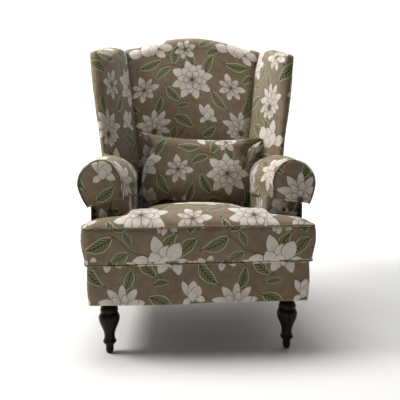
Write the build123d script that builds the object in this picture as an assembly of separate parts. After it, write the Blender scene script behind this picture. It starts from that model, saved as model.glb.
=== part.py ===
"""Wingback armchair with a loose T-shaped seat cushion and a loose lumbar pillow.

Frame: millimetres, +Z up, X = 0 in the chair's plane of symmetry, the chair faces -Y.
Depths are written as d, the distance behind the front of the seat cushion, and at(d)
turns one into Y, so that Y = 0 is half way through the chair's depth.
Left is -X and right is +X, as seen from in front of the chair.
"""
from build123d import *
import math
import os

# ---- driving dimensions -------------------------------------------------------------
CREST_Z = 1115.0         # top of the camel back, the chair's height
SHOULDER = (172.0, 1089.0)   # X and Z where the arch of the crest ends
CORNER = (277.0, 1054.0)     # X and Z where the crest meets the wings
CREST_SLOPE = 0.31       # fall of the crest for each mm across, outside its corners
BASE_HALF = 350.0        # half width of the upholstered base at the front
BASE_TAPER = 0.0406      # how much the sides come in for each mm of depth
HEM_Z = 165.0            # lower edge of the covers
BACK_FOOT_D = 665.0      # depth of the outside back at the hem
BACK_LEAN = 0.087        # how far the outside back leans for each mm of height
OUTSIDE_TOP_Z = 1093.0   # top of the outside back
OUTSIDE_HALF = 316.0     # half width of the outside back
DEPTH = BACK_FOOT_D + BACK_LEAN * (OUTSIDE_TOP_Z - HEM_Z)
RAIL_Z = (168.0, 285.0)  # seat rails, bottom and top
DECK_Z = 298.5           # top of the seat platform
RAIL_T = 26.0            # hardwood rails
COVER_T = 4.0            # cover with its wadding, over boards and rails
SKIN_T = 3.0             # cover over foam
FRONT_RAIL_D = 28.0
REAR_RAIL_D = 632.0
POST_X = (264.0, 293.5)  # back posts, inner and outer faces
POST_DEEP = 50.0
POST_TOP = 1012.0
POST_GAP = 8.0           # from the posts to the outside back's surface
TOP_RAIL_Z = 975.0
BLOCK_Z = (RAIL_Z[0], 230.0)     # corner blocks
BLOCK_REACH = 75.0
DOWEL_Z = (200.0, 250.0)
DOWEL_R = 5.0
SPRING_X = (-160.0, -80.0, 0.0, 80.0, 160.0)
SPRING_Z = 279.0
SPRING_WIRE_R = 1.9
SPRING_BENDS = 22
SPRING_SWING = 22.0
WEB_STRAPS = 7
WEB_PITCH = 92.0
WEB_WIDTH = 50.0
WEB_T = 2.0

CUSHION_HALF = 360.0     # loose seat cushion
CUSHION_Z = (300.0, 414.0)
CUSHION_CROWN = 32.0
EAR_D = 108.0            # depth of the cushion's ears, in front of the arms
CUSHION_REAR_D = 465.0

ARM_FRONT_D = 117.0      # front of the inner strip of the arm
ARM_INNER = (228.0, 206.0)   # inner face at the front, and from ARM_TOE_D on
ARM_TOE_D = 330.0
ROLL_FRONT_D = 97.0      # front of the arm cap
ROLL_FULL_D = 250.0      # where the roll has its full width
CAP_REAR_D = 344.0
ROLL_PAD_REAR_D = 630.0
ROLL_REAR_D = 686.0
ROLL_INNER = (238.0, 201.0)
ROLL_TOP_X = 309.0
ROLL_OUTER = 385.0
ROLL_MID_Z = 538.0
ROLL_TOP_Z = (609.0, 630.0)
ROLL_HEM = ((363.0, 472.0), 491.0)   # outer corner of the hem, and its height inside
STUMP_D = (127.0, 151.0)
STUMP_X = (233.0, 340.0)
ARM_BODY_TOP = 470.0
PANEL_X = (281.0, 340.0)     # nailed panel on the front of the arm
PANEL_T = 3.5

WING_Z = (575.0, 1074.0)
WING_INNER = (306.0, 318.0)  # half width at the inner tip, bottom and top
WING_TIP_D = 355.0
WING_NOSE_D = 326.0
WING_TAIL_X = 316.0
NAIL_R = 5.5
NAIL_PITCH = 20.0
LEG_X = 288.0
LEG_D = 64.0
LEG_TOP = 166.5
GLIDE_H = 3.0
REAR_LEG_X = 279.0
REAR_LEG_D = 632.0
REAR_LEG_RAKE = 62.0
BOLT_R = 4.0
BOLT_FOOT = 135.0        # lower end of the leg bolts
BOLT_TOPS = (238.0, 222.0)   # upper ends, front and rear

PILLOW_TILT = 8.0        # the pillow leans back as the inside back does
PILLOW_YAW = 7.0
PILLOW_THICK = 124.0
ZIP_Z = (344.0, 368.0)
ZIP_HALF = 170.0
ZIP_T = 1.2
ZIP_START = -158.0       # the slider's place when the zip is closed


# ---- helpers ------------------------------------------------------------------------
def at(d):
    """Y of a point that is d behind the front of the seat cushion."""
    return d - DEPTH / 2


def side_x(d):
    """Half width of the base's outer face."""
    return BASE_HALF - BASE_TAPER * (d - 24)


def back_face(z):
    """Depth of the inside back's front face, which leans back 8 degrees."""
    return 487 + 0.1404 * (z - 428)


def back_outside(z):
    """Depth of the outside back, which leans back 5 degrees."""
    return BACK_FOOT_D + BACK_LEAN * (z - HEM_Z)


def wing_root_x(z):
    """Half width of the inside back, where the wings start."""
    return 213 + 0.128 * (z - WING_Z[0])


def block(x0, x1, d0, d1, z0, z1):
    """A box from its limits; x0 and x1 are X, d0 and d1 depths."""
    box = Box(x1 - x0, d1 - d0, z1 - z0)
    return Pos((x0 + x1) / 2, at((d0 + d1) / 2), (z0 + z1) / 2) * box


def plan_slab(points, z0, z1):
    """A prism on a plan outline of (X, depth) points."""
    face = make_face(Polyline(*[(x, at(d)) for x, d in points], close=True).edges())
    return extrude(Pos(0, 0, z0) * face, amount=z1 - z0, dir=(0, 0, 1))


def side_slab(points, half):
    """A prism on a side outline of (depth, Z) points, from X = -half to half."""
    line = Polyline(*[(0, at(d), z) for d, z in points], close=True)
    return extrude(make_face(line.edges()), amount=half, dir=(1, 0, 0), both=True)


def front_slab(edges, d0, d1):
    """A prism on a front outline drawn at Y = 0, from depth d0 to d1."""
    face = make_face(edges)
    return extrude(Pos(0, at(d0), 0) * face, amount=d1 - d0, dir=(0, 1, 0))


def rod(radius, start, end):
    """A round bar between two points."""
    axis = Vector(*end) - Vector(*start)
    plane = Plane(origin=start, z_dir=axis)
    return extrude(plane * Circle(radius), amount=axis.length)


def mirrored(shape):
    return mirror(shape, about=Plane.YZ)


def cut(shape, *tools):
    for tool in tools:
        shape = shape - tool
    return shape


def save(name, shape):
    solids = shape.solids()
    whole = solids[0] if len(solids) == 1 else Compound(children=list(solids))
    export_step(whole, f"parts/{name}.step")


def save_pair(name, right):
    """A part of the right half, and its mirror image on the left."""
    save(f"right_{name}", right)
    save(f"left_{name}", mirrored(right))


# ---- hardwood frame -----------------------------------------------------------------
def front_rail():
    half = side_x(FRONT_RAIL_D + RAIL_T) - COVER_T
    return block(-half, half, FRONT_RAIL_D, FRONT_RAIL_D + RAIL_T, *RAIL_Z)


def rear_rail():
    return block(-POST_X[0], POST_X[0], REAR_RAIL_D, REAR_RAIL_D + RAIL_T, *RAIL_Z)


def side_rail():
    front, rear = FRONT_RAIL_D + RAIL_T, REAR_RAIL_D + RAIL_T
    outline = [(side_x(front) - COVER_T, front), (side_x(rear) - COVER_T, rear)]
    outline += [(x - RAIL_T, d) for x, d in reversed(outline)]
    return plan_slab(outline, *RAIL_Z)


def back_post():
    top, bottom = POST_TOP, RAIL_Z[0]
    outline = [
        (back_outside(bottom) - POST_GAP - POST_DEEP, bottom),
        (back_outside(bottom) - POST_GAP, bottom),
        (back_outside(top) - POST_GAP, top),
        (back_outside(top) - POST_GAP - POST_DEEP, top),
    ]
    return side_slab(outline, 400) & block(POST_X[0], POST_X[1], 0, DEPTH, 0, CREST_Z)


def leaning_rail(z0, z1, thick, half=POST_X[0]):
    """A rail between the posts, lying in their plane, flush with their front."""
    front = [(back_outside(z) - POST_GAP - POST_DEEP, z) for z in (z0, z1)]
    return side_slab(front + [(d + thick, z) for d, z in reversed(front)], half)


def top_rail():
    rail = leaning_rail(TOP_RAIL_Z, CREST_Z, POST_DEEP, 290)
    arched = front_slab(crest_outline(26, 290, TOP_RAIL_Z), 0, DEPTH)
    return cut(rail & arched, back_post(), mirrored(back_post()))


def corner_blocks():
    reach = BLOCK_REACH
    front = FRONT_RAIL_D + RAIL_T
    x = side_x(front + reach) - COVER_T - RAIL_T
    ahead = plan_slab([(x, front), (x - reach, front), (x, front + reach)], *BLOCK_Z)
    x = POST_X[0]
    behind = plan_slab(
        [(x, REAR_RAIL_D), (x - reach, REAR_RAIL_D), (x, REAR_RAIL_D - reach)], *BLOCK_Z)
    return ahead + behind


def dowel_lines():
    """Start and end of each dowel of the right half."""
    x = side_x(FRONT_RAIL_D + RAIL_T) - COVER_T - RAIL_T / 2
    y = REAR_RAIL_D + RAIL_T / 2
    lines = [((x, at(FRONT_RAIL_D + 11), z), (x, at(FRONT_RAIL_D + 41), z)) for z in DOWEL_Z]
    lines += [((POST_X[0] - 15, at(y), z), (POST_X[0] + 13, at(y), z)) for z in DOWEL_Z]
    return lines


def arm_stump():
    """The shaped upright at the front of the arm, under the roll."""
    lower = block(*STUMP_X, *STUMP_D, RAIL_Z[1], ARM_BODY_TOP)
    scroll = roll_slab(18, STUMP_D[0], STUMP_D[1], False, hem_drop=15)
    return lower + (scroll & block(STUMP_X[0], 400, 0, DEPTH, ARM_BODY_TOP, CREST_Z))


def arm_rail():
    """Board from the stump back to the post, inside the roll."""
    return cut(block(POST_X[1], 320, STUMP_D[1], 668, 556, 584), back_post())


def wing_board():
    outer = wing_body(12)
    inner = Pos(-20, 0, 0) * outer
    board = outer - inner
    board &= block(250, 400, 372, back_outside(600) + 40, WING_Z[0] + 30, 1035)
    return keep_largest(cut(board, *frame_in_back(), arm_envelope()))


# ---- springs and platform -----------------------------------------------------------
def springs():
    """Five zigzag springs between the front and rear rails."""
    start, end = FRONT_RAIL_D + RAIL_T + 6, REAR_RAIL_D - 6
    pitch = (end - start) / SPRING_BENDS
    made = []
    for x in SPRING_X:
        points = [(x, at(start), SPRING_Z)]
        for k in range(SPRING_BENDS):
            side = SPRING_SWING if k % 2 else -SPRING_SWING
            points.append((x + side, at(start + (k + 0.5) * pitch), SPRING_Z))
        points.append((x, at(end), SPRING_Z))
        path = FilletPolyline(*points, radius=5)
        tip = Plane(origin=path @ 0, z_dir=path % 0)
        made.append(sweep(tip * Circle(SPRING_WIRE_R), path=path))
    return made


def spring_clips():
    made = []
    for x in SPRING_X:
        for d in (FRONT_RAIL_D + RAIL_T, REAR_RAIL_D - 4):
            made.append(block(x - 11, x + 11, d, d + 4, 270, 284))
    return made


def deck(z0, z1):
    """The seat platform, as wide as the base in front and narrow between the arms."""
    wide, narrow = 342.0, 203.0
    half = [(wide, 28), (wide, 112), (narrow, 112), (narrow, REAR_RAIL_D)]
    return plan_slab(half + [(-x, d) for x, d in reversed(half)], z0, z1)


def back_webbing():
    """Jute straps between the posts, tacked to their front faces."""
    made = []
    for k in range(WEB_STRAPS):
        z = 345 + WEB_PITCH * k
        strap = leaning_rail(z, z + WEB_WIDTH, WEB_T, POST_X[1] - 4)
        made.append(Pos(0, -WEB_T, 0) * strap)
    return made


# ---- the roll of the arm ------------------------------------------------------------
def roll_section(inset, full, hem_drop, d):
    """Front outline of the right arm's roll at depth d: a loaf with a flat bottom."""
    inner = ROLL_INNER[full] + inset
    outer = ROLL_OUTER - inset
    top = ROLL_TOP_Z[full] - inset
    (hem_x, hem_z), hem_in = ROLL_HEM
    hem_x, hem_z, hem_in = hem_x - inset, hem_z - hem_drop, hem_in - hem_drop
    rise = top - ROLL_MID_Z
    turned = Plane(origin=(ROLL_TOP_X, at(d), ROLL_MID_Z), x_dir=(1, 0, 0), z_dir=(0, -1, 0))
    left = turned * EllipticalCenterArc((0, 0), ROLL_TOP_X - inner, rise, 90, arc_size=90)
    right = turned * EllipticalCenterArc((0, 0), outer - ROLL_TOP_X, rise, 0, arc_size=90)
    low_in, low_out = (inner, at(d), hem_in), (hem_x, at(d), hem_z)
    lines = [
        Line((inner, at(d), ROLL_MID_Z), low_in),
        Line(low_in, low_out),
        Line(low_out, (outer, at(d), ROLL_MID_Z)),
    ]
    return make_face([left.edge(), right.edge()] + [line.edge() for line in lines])


def roll_slab(inset, d0, d1, full, hem_drop=0.0):
    face = roll_section(inset, full, hem_drop, d0)
    return extrude(face, amount=d1 - d0, dir=(0, 1, 0))


def roll(inset, d0, d1, hem_drop=0.0):
    """The roll from d0 to d1: its inner edge is rounded off towards the front."""
    front = loft([
        roll_section(inset, False, hem_drop, d0),
        roll_section(inset, True, hem_drop, ROLL_FULL_D),
    ])
    return front + roll_slab(inset, ROLL_FULL_D, d1, True, hem_drop)


def arm_envelope():
    """Everything up to the top of the arm, which the wing stands on."""
    return roll(0, 60, 760) + block(150, 420, 60, 760, 300, ROLL_MID_Z)


def arm_roll_pad():
    pad = roll(8, ROLL_FRONT_D + 8, ROLL_PAD_REAR_D)
    return cut(pad, arm_stump(), arm_rail(), back_post())


def arm_roll_cover():
    """Skin over the roll; behind the pad it only closes the arm's outer rear end."""
    skin = roll(5, ROLL_FRONT_D + 5, ROLL_REAR_D) - roll(8, ROLL_FRONT_D + 8, ROLL_REAR_D - 3)
    hidden = block(150, POST_X[1], ROLL_PAD_REAR_D, DEPTH, 400, 700)
    return keep_largest(cut(skin, hidden, arm_stump(), arm_rail()))


def arm_cap():
    """The fitted cap over the roll, open below and behind."""
    outer = roll(0, ROLL_FRONT_D, CAP_REAR_D)
    return outer - roll(4.5, ROLL_FRONT_D + 4.5, CAP_REAR_D + 50, hem_drop=12)


# ---- body of the arm ----------------------------------------------------------------
def arm_inner_line(inset):
    """Plan line of the arm's inner face, front to rear."""
    front, rear = ARM_INNER
    return [(front + inset, ARM_FRONT_D + inset), (rear + inset, ARM_TOE_D),
            (rear + inset, 600)]


def inside_arm_cover():
    strip = [(PANEL_X[0], ARM_FRONT_D), (PANEL_X[0], ARM_FRONT_D + SKIN_T)]
    outline = strip + arm_inner_line(SKIN_T) + list(reversed(arm_inner_line(0)))
    return plan_slab(outline, RAIL_Z[1] + 1, ARM_BODY_TOP)


def inside_arm_pad():
    front = ARM_FRONT_D + SKIN_T
    outline = arm_inner_line(SKIN_T)
    rear_x, strip_x = STUMP_X[0], PANEL_X[0] - SKIN_T
    outline += [(rear_x, 600), (rear_x, STUMP_D[0]), (strip_x, STUMP_D[0]), (strip_x, front)]
    return plan_slab(outline, RAIL_Z[1] + 1, ARM_BODY_TOP)


def arm_front_panel():
    return block(*PANEL_X, STUMP_D[0] - PANEL_T, STUMP_D[0], RAIL_Z[1] + 1, ARM_BODY_TOP)


def outside_arm_panel():
    d0, d1 = 114.0, 700.0
    outline = [(side_x(d0), d0), (side_x(d1), d1)]
    outline += [(x - COVER_T, d) for x, d in reversed(outline)]
    sheet = plan_slab(outline, HEM_Z, ARM_BODY_TOP)
    low, high = back_outside(HEM_Z) - 5.5, back_outside(ARM_BODY_TOP) - 5.5
    side = [(0, HEM_Z), (low, HEM_Z), (high, ARM_BODY_TOP), (0, ARM_BODY_TOP)]
    return sheet & side_slab(side, 400)


def nails():
    """Domed nails in two rows down each arm front panel."""
    made = []
    face = STUMP_D[0] - PANEL_T
    for x in (PANEL_X[0] + 6.5, PANEL_X[1] - 4.5):
        z = RAIL_Z[1] + 25
        while z < ARM_BODY_TOP - NAIL_R:
            ball = Pos(x, at(face), z) * Sphere(NAIL_R)
            dome = ball & block(x - 10, x + 10, face - 10, face, z - 10, z + 10)
            made += dome.solids()
            z += NAIL_PITCH
    return made


# ---- back ---------------------------------------------------------------------------
def arched_outline(inset, right):
    """Front outline under a camel-back arch; right lists (X, Z) points, bottom to top."""
    shoulder = (SHOULDER[0], 0, SHOULDER[1] - inset)
    crest = ThreePointArc((-SHOULDER[0], 0, shoulder[2]), (0, 0, CREST_Z - inset), shoulder)
    down = [shoulder] + [(x, 0, z) for x, z in reversed(right)]
    points = down + [(-x, y, z) for x, y, z in reversed(down)]
    return crest.edges() + Polyline(*points).edges()


def crest_outline(inset, half, bottom):
    """Front outline of a straight-sided panel under the arch."""
    corner = CORNER[1] - inset - CREST_SLOPE * (half - CORNER[0])
    return arched_outline(inset, [(half, bottom), (half, corner)])


def back_front_shape(inset):
    """Front outline of the stuffed back, between the arms and between the wings."""
    low, foot = ARM_INNER[1] - 1, DECK_Z + 0.5
    top = CORNER[1] - inset
    right = [(low, foot), (low, 560), (wing_root_x(576), 576), (wing_root_x(top), top)]
    return front_slab(arched_outline(inset, right), 0, DEPTH + 20)


def back_body(inset):
    """The stuffed back: leaning front face, rounded crest, open behind and below."""
    foot, ledge = DECK_Z + 0.5, CREST_Z - 70
    turn, rear = CREST_Z - 48, CREST_Z - 20
    outline = [
        (back_face(foot) + inset, foot), (back_face(turn) + inset, turn),
        (603 + inset * 0.7, CREST_Z - (14 + inset * 0.7)), (650, CREST_Z - inset),
        (700, CREST_Z - 6 - inset), (back_outside(rear) - 6, rear - inset),
        (back_outside(ledge) - 6, ledge), (back_outside(ledge) - 60, ledge),
        (back_outside(foot) - 60, foot),
    ]
    return side_slab(outline, 400) & back_front_shape(inset)


def frame_in_back():
    return [back_post(), mirrored(back_post()), top_rail()] + back_webbing()


def back_pad():
    return keep_largest(cut(back_body(SKIN_T), *frame_in_back()))


def inside_back_cover():
    return keep_largest(cut(back_body(0), back_body(SKIN_T), *frame_in_back()))


def outside_back_panel():
    thick = 5.0
    z0, z1 = HEM_Z, OUTSIDE_TOP_Z
    outline = [(back_outside(z0) - thick, z0), (back_outside(z0), z0),
               (back_outside(z1), z1), (back_outside(z1) - thick, z1)]
    trimmed = front_slab(crest_outline(12, OUTSIDE_HALF, 100), 0, DEPTH + 20)
    return side_slab(outline, 400) & trimmed


# ---- wings --------------------------------------------------------------------------
def wing_section(z, inset):
    """Plan outline of the right wing: a wedge with a rolled front edge."""
    outer = 342 + 0.1 * (z - 632) - inset
    inner = WING_INNER[WING_Z.index(z)] + inset
    rear = back_outside(z) - 7
    root = (wing_root_x(z), at(back_face(z) + 1.5 * inset))
    tip_in, tip_out = (inner, at(WING_TIP_D)), (outer, at(WING_TIP_D - 3))
    nose = ((inner + outer) / 2, at(WING_NOSE_D + inset))
    tail_out, tail_in = (WING_TAIL_X - inset, at(rear)), (wing_root_x(z), at(rear))
    lines = Polyline(tip_out, tail_out, tail_in, root, tip_in)
    face = make_face(ThreePointArc(tip_in, nose, tip_out).edges() + lines.edges())
    return Pos(0, 0, z) * face


def wing_side_shape(inset):
    """Side outline of the wing: upright front edge and a top that rises to the crest."""
    outline = [
        (338 + inset, WING_Z[0]), (338 + inset, 632), (326 + inset, 860),
        (332 + inset, 965), (350 + inset * 0.7, 1003 - inset * 0.7), (385, 1016 - inset),
        (510, 1054 - inset), (600, 1063 - inset), (760, 1063 - inset), (760, WING_Z[0]),
    ]
    return side_slab(outline, 420)


def wing_body(inset):
    return loft([wing_section(z, inset) for z in WING_Z], ruled=True) & wing_side_shape(inset)


def wing_pad():
    solid = cut(wing_body(SKIN_T), arm_envelope(), wing_board(), *frame_in_back())
    return keep_largest(cut(solid, outside_back_panel()))


def wing_cover():
    solid = cut(wing_body(0), wing_body(SKIN_T), arm_envelope(), *frame_in_back())
    return keep_largest(cut(solid, outside_back_panel()))


def keep_largest(shape):
    """Booleans of slanted faces can leave crumbs; the part is the largest solid."""
    return max(shape.solids(), key=lambda s: s.volume)


# ---- covers of the base -------------------------------------------------------------
def base_front_cover():
    """Front band of the base, with a short return round each corner."""
    d0, d1 = 24.0, 113.5
    outer = [(side_x(d0), d0), (side_x(d1), d1)]
    inner = [(side_x(d1) - COVER_T, d1), (side_x(d0) - COVER_T, d0 + COVER_T)]
    half = outer + inner
    return plan_slab(half + [(-x, d) for x, d in reversed(half)], HEM_Z, DECK_Z)


def dust_cover():
    half = [(338, 34), (312, 655)]
    sheet = plan_slab(half + [(-x, d) for x, d in reversed(half)], LEG_TOP, RAIL_Z[0])
    return cut(sheet, *bolt_rods())


# ---- legs ---------------------------------------------------------------------------
def front_leg():
    """Turned leg: two rings, a round bulb and a slim foot."""
    line = Polyline((0, LEG_TOP), (22, LEG_TOP), (22, 162), (20.5, 159))
    line += Spline((20.5, 159), (28, 140), (26.3, 134))
    line += Spline((26.3, 134), (33, 119.5), (22.8, 83), (16.5, 55), (19, 43.5))
    line += Spline((19, 43.5), (21.2, 38), (14.5, 29), (12.3, 15), (12.2, 9), (9.5, GLIDE_H))
    line += Polyline((9.5, GLIDE_H), (0, GLIDE_H), (0, LEG_TOP))
    profile = make_face(line.edges())
    turned = revolve(Plane.XZ * profile, axis=Axis.Z)
    return cut(Pos(LEG_X, at(LEG_D), 0) * turned, bolt_rod(LEG_X, LEG_D, BOLT_TOPS[0]))


def rear_leg():
    """Plain square leg, tapered and raked back."""
    top = Pos(REAR_LEG_X, at(REAR_LEG_D), LEG_TOP) * Rectangle(42, 42)
    foot = Pos(REAR_LEG_X + 4, at(REAR_LEG_D + REAR_LEG_RAKE), GLIDE_H) * Rectangle(28, 28)
    return cut(loft([foot, top]), bolt_rod(REAR_LEG_X, REAR_LEG_D, BOLT_TOPS[1]))


def bolt_rod(x, d, top):
    return Pos(x, at(d), (BOLT_FOOT + top) / 2) * Cylinder(BOLT_R, top - BOLT_FOOT)


def bolt_rods():
    right = [bolt_rod(LEG_X, LEG_D, BOLT_TOPS[0])]
    right.append(bolt_rod(REAR_LEG_X, REAR_LEG_D, BOLT_TOPS[1]))
    return right + [mirrored(r) for r in right]


def leg_nuts():
    """Flanged nuts on the front bolts, over the corner blocks."""
    nut = Pos(0, 0, 0.75) * Cylinder(9.5, 1.5) + extrude(RegularPolygon(7.5, 6), amount=8)
    nut -= Pos(0, 0, 4) * Cylinder(BOLT_R, 8)
    right = Pos(LEG_X, at(LEG_D), BLOCK_Z[1]) * nut
    return [right, mirrored(right)]


def leg_glides():
    front = Pos(LEG_X, at(LEG_D), GLIDE_H / 2) * Cylinder(9, GLIDE_H)
    rear = Pos(REAR_LEG_X + 4, at(REAR_LEG_D + REAR_LEG_RAKE), GLIDE_H / 2) * Cylinder(9, GLIDE_H)
    return [front, rear, mirrored(front), mirrored(rear)]


# ---- loose seat cushion -------------------------------------------------------------
def cushion_plan(inset):
    """T outline: full width in front of the arms, and between them behind."""
    half = [
        (CUSHION_HALF - inset, inset), (CUSHION_HALF - inset, EAR_D - inset),
        (224 - inset, EAR_D - inset), (203 - inset, ARM_TOE_D),
        (203 - inset, CUSHION_REAR_D - inset),
    ]
    points = half + [(-x, d) for x, d in reversed(half)]
    return make_face(Polyline(*[(x, at(d)) for x, d in points], close=True).edges())


def cushion_body(inset):
    """Straight boxing with a chamfered crown above the upper seam."""
    z0, seam = CUSHION_Z[0] + inset, CUSHION_Z[1]
    crown = CUSHION_CROWN - inset
    box = extrude(Pos(0, 0, z0) * cushion_plan(inset), amount=seam - z0)
    top = extrude(Pos(0, 0, seam) * cushion_plan(inset), amount=crown, taper=45)
    return box + top


def seat_cushion_boxing():
    skin = cushion_body(0) - cushion_body(2)
    return skin & block(-400, 400, -10, 500, CUSHION_Z[0] + 2, CUSHION_Z[1])


def seat_cushion_top_panel():
    skin = cushion_body(0) - cushion_body(2)
    return skin & block(-400, 400, -10, 500, CUSHION_Z[1], CUSHION_Z[1] + 60)


def seat_cushion_bottom_panel():
    return extrude(Pos(0, 0, CUSHION_Z[0]) * cushion_plan(0), amount=2)


def seat_cushion_zip():
    return block(-ZIP_HALF, ZIP_HALF, CUSHION_REAR_D, CUSHION_REAR_D + ZIP_T, *ZIP_Z)


def seat_zip_slider():
    z, face = sum(ZIP_Z) / 2, CUSHION_REAR_D + ZIP_T
    body = block(ZIP_START - 6, ZIP_START + 6, face + 0.3, face + 3.0, z - 4.5, z + 4.5)
    pull = block(ZIP_START - 3, ZIP_START + 3, face + 1.2, face + 2.4, z - 26, z - 4.5)
    return body + pull


# ---- loose lumbar pillow ------------------------------------------------------------
def pillow_frame():
    """Local frame of the pillow: x along its width, y up its face, z out of its front."""
    tilt, yaw = math.radians(PILLOW_TILT), math.radians(PILLOW_YAW)
    across = Vector(math.cos(yaw), -math.sin(yaw), 0)
    up = Vector(math.sin(tilt) * math.sin(yaw), math.sin(tilt) * math.cos(yaw), math.cos(tilt))
    return Plane(origin=(30, at(436), 590), x_dir=across, z_dir=across.cross(up))


def pillow_body(inset):
    """A lens both ways, trimmed to four corners."""
    half = PILLOW_THICK / 2 - inset
    corners = [(-202, 136), (224, 108), (172, 10), (164, -132), (-214, -120)]
    trim = Polyline(*corners, close=True).edges()
    slab = extrude(make_face(trim), amount=half + 5, both=True)
    slab = slab if inset == 0 else scale(slab, by=(1 - inset / 200, 1 - inset / 130, 1))
    wide, tall = 262.0, 172.0
    arcs = [ThreePointArc((-wide, 0), (0, s * half), (wide, 0)).edge() for s in (1, -1)]
    flat = extrude(Plane.XZ * make_face(arcs), amount=200, both=True)
    arcs = [ThreePointArc((-tall, 0), (0, s * half), (tall, 0)).edge() for s in (1, -1)]
    upright = extrude(Plane.YZ * make_face(arcs), amount=300, both=True)
    return slab & flat & upright


def placed(local):
    return pillow_frame() * local


def pillow_skin(front):
    skin = pillow_body(0) - pillow_body(2)
    side = Pos(0, 0, 100 if front else -100) * Box(700, 500, 200)
    return placed(skin & side)


# ---- all parts ----------------------------------------------------------------------
def both_sides(solids):
    found = [s for shape in solids for s in shape.solids()]
    return Compound(children=found + [mirrored(s) for s in found])


def main():
    os.makedirs("parts", exist_ok=True)
    dowels = [rod(DOWEL_R, a, b) for a, b in dowel_lines()]
    pegs = dowels + [mirrored(d) for d in dowels]
    bolts = bolt_rods()

    save("front_rail", cut(front_rail(), *pegs))
    save("rear_rail", cut(rear_rail(), *pegs))
    save_pair("side_rail", cut(side_rail(), *dowels))
    save_pair("back_post", cut(back_post(), *dowels, *bolts))
    save("top_rail", top_rail())
    save("lumbar_rail", leaning_rail(300, 340, 25))
    save("frame_dowels", Compound(children=[s for p in pegs for s in p.solids()]))
    blocks = corner_blocks()
    save("corner_blocks", cut(blocks + mirrored(blocks), *bolts))
    save_pair("arm_stump", arm_stump())
    save_pair("arm_rail", arm_rail())
    save_pair("wing_board", wing_board())

    save("seat_springs", Compound(children=[s for w in springs() for s in w.solids()]))
    save("spring_clips", Compound(children=[s for c in spring_clips() for s in c.solids()]))
    save("seat_deck_pad", deck(RAIL_Z[1], DECK_Z - 1.5))
    save("seat_deck_cover", deck(DECK_Z - 1.5, DECK_Z))
    save("back_webbing", Compound(children=[s for w in back_webbing() for s in w.solids()]))
    save("back_pad", back_pad())
    save("inside_back_cover", inside_back_cover())
    save("outside_back_panel", outside_back_panel())
    save_pair("wing_pad", wing_pad())
    save_pair("wing_cover", wing_cover())

    save_pair("arm_roll_pad", arm_roll_pad())
    save_pair("arm_roll_cover", arm_roll_cover())
    save_pair("arm_cap", arm_cap())
    save_pair("inside_arm_pad", inside_arm_pad())
    save_pair("inside_arm_cover", inside_arm_cover())
    save("arm_front_panels", both_sides([arm_front_panel()]))
    save_pair("outside_arm_panel", outside_arm_panel())
    save("arm_nails", both_sides(nails()))

    save("base_front_cover", base_front_cover())
    save("dust_cover", dust_cover())
    save_pair("front_leg", front_leg())
    save_pair("rear_leg", rear_leg())
    save("leg_bolts", Compound(children=[s for b in bolts for s in b.solids()]))
    save("leg_nuts", Compound(children=[s for n in leg_nuts() for s in n.solids()]))
    save("leg_glides", Compound(children=[s for g in leg_glides() for s in g.solids()]))

    save("seat_cushion_foam", cushion_body(2))
    save("seat_cushion_boxing", seat_cushion_boxing())
    save("seat_cushion_top_panel", seat_cushion_top_panel())
    save("seat_cushion_bottom_panel", seat_cushion_bottom_panel())
    save("seat_cushion_zip", seat_cushion_zip())
    save("seat_zip_slider", seat_zip_slider())
    save("pillow_filling", placed(pillow_body(2)))
    save("pillow_front_cover", pillow_skin(True))
    save("pillow_rear_cover", pillow_skin(False))


if __name__ == "__main__":
    main()
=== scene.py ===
import math

import bmesh
import bpy
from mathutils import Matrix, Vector, noise


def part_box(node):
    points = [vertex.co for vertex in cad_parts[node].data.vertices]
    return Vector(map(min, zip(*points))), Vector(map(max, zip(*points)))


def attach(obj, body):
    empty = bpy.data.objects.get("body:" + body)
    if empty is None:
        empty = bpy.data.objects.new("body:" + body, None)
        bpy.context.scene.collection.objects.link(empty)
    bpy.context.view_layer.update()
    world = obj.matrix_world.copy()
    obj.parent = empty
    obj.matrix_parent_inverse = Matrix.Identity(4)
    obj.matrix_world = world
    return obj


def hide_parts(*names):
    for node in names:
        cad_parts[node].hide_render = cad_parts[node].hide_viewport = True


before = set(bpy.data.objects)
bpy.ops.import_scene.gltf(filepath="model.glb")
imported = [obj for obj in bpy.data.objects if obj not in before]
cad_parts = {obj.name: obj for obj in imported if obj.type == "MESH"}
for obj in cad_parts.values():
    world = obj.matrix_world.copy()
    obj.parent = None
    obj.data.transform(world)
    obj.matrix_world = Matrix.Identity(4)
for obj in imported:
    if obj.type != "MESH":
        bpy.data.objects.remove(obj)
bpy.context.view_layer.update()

# ---- places -------------------------------------------------------------------------
# Outlines are drawn in millimetres: X, the depth d behind the front of the seat cushion,
# and Z. place() turns them into metres in the frame of the CAD model.
MM = 0.001
FRONT_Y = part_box("seat_cushion_boxing")[0][1]


def top_of(node):
    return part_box(node)[1][2] / MM


def low_of(node):
    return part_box(node)[0][2] / MM


def half_width(node):
    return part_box(node)[1][0] / MM


def depths(node):
    """Front and rear of a node, as depths behind the front of the seat cushion."""
    return [(corner[1] - FRONT_Y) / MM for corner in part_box(node)]


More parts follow.
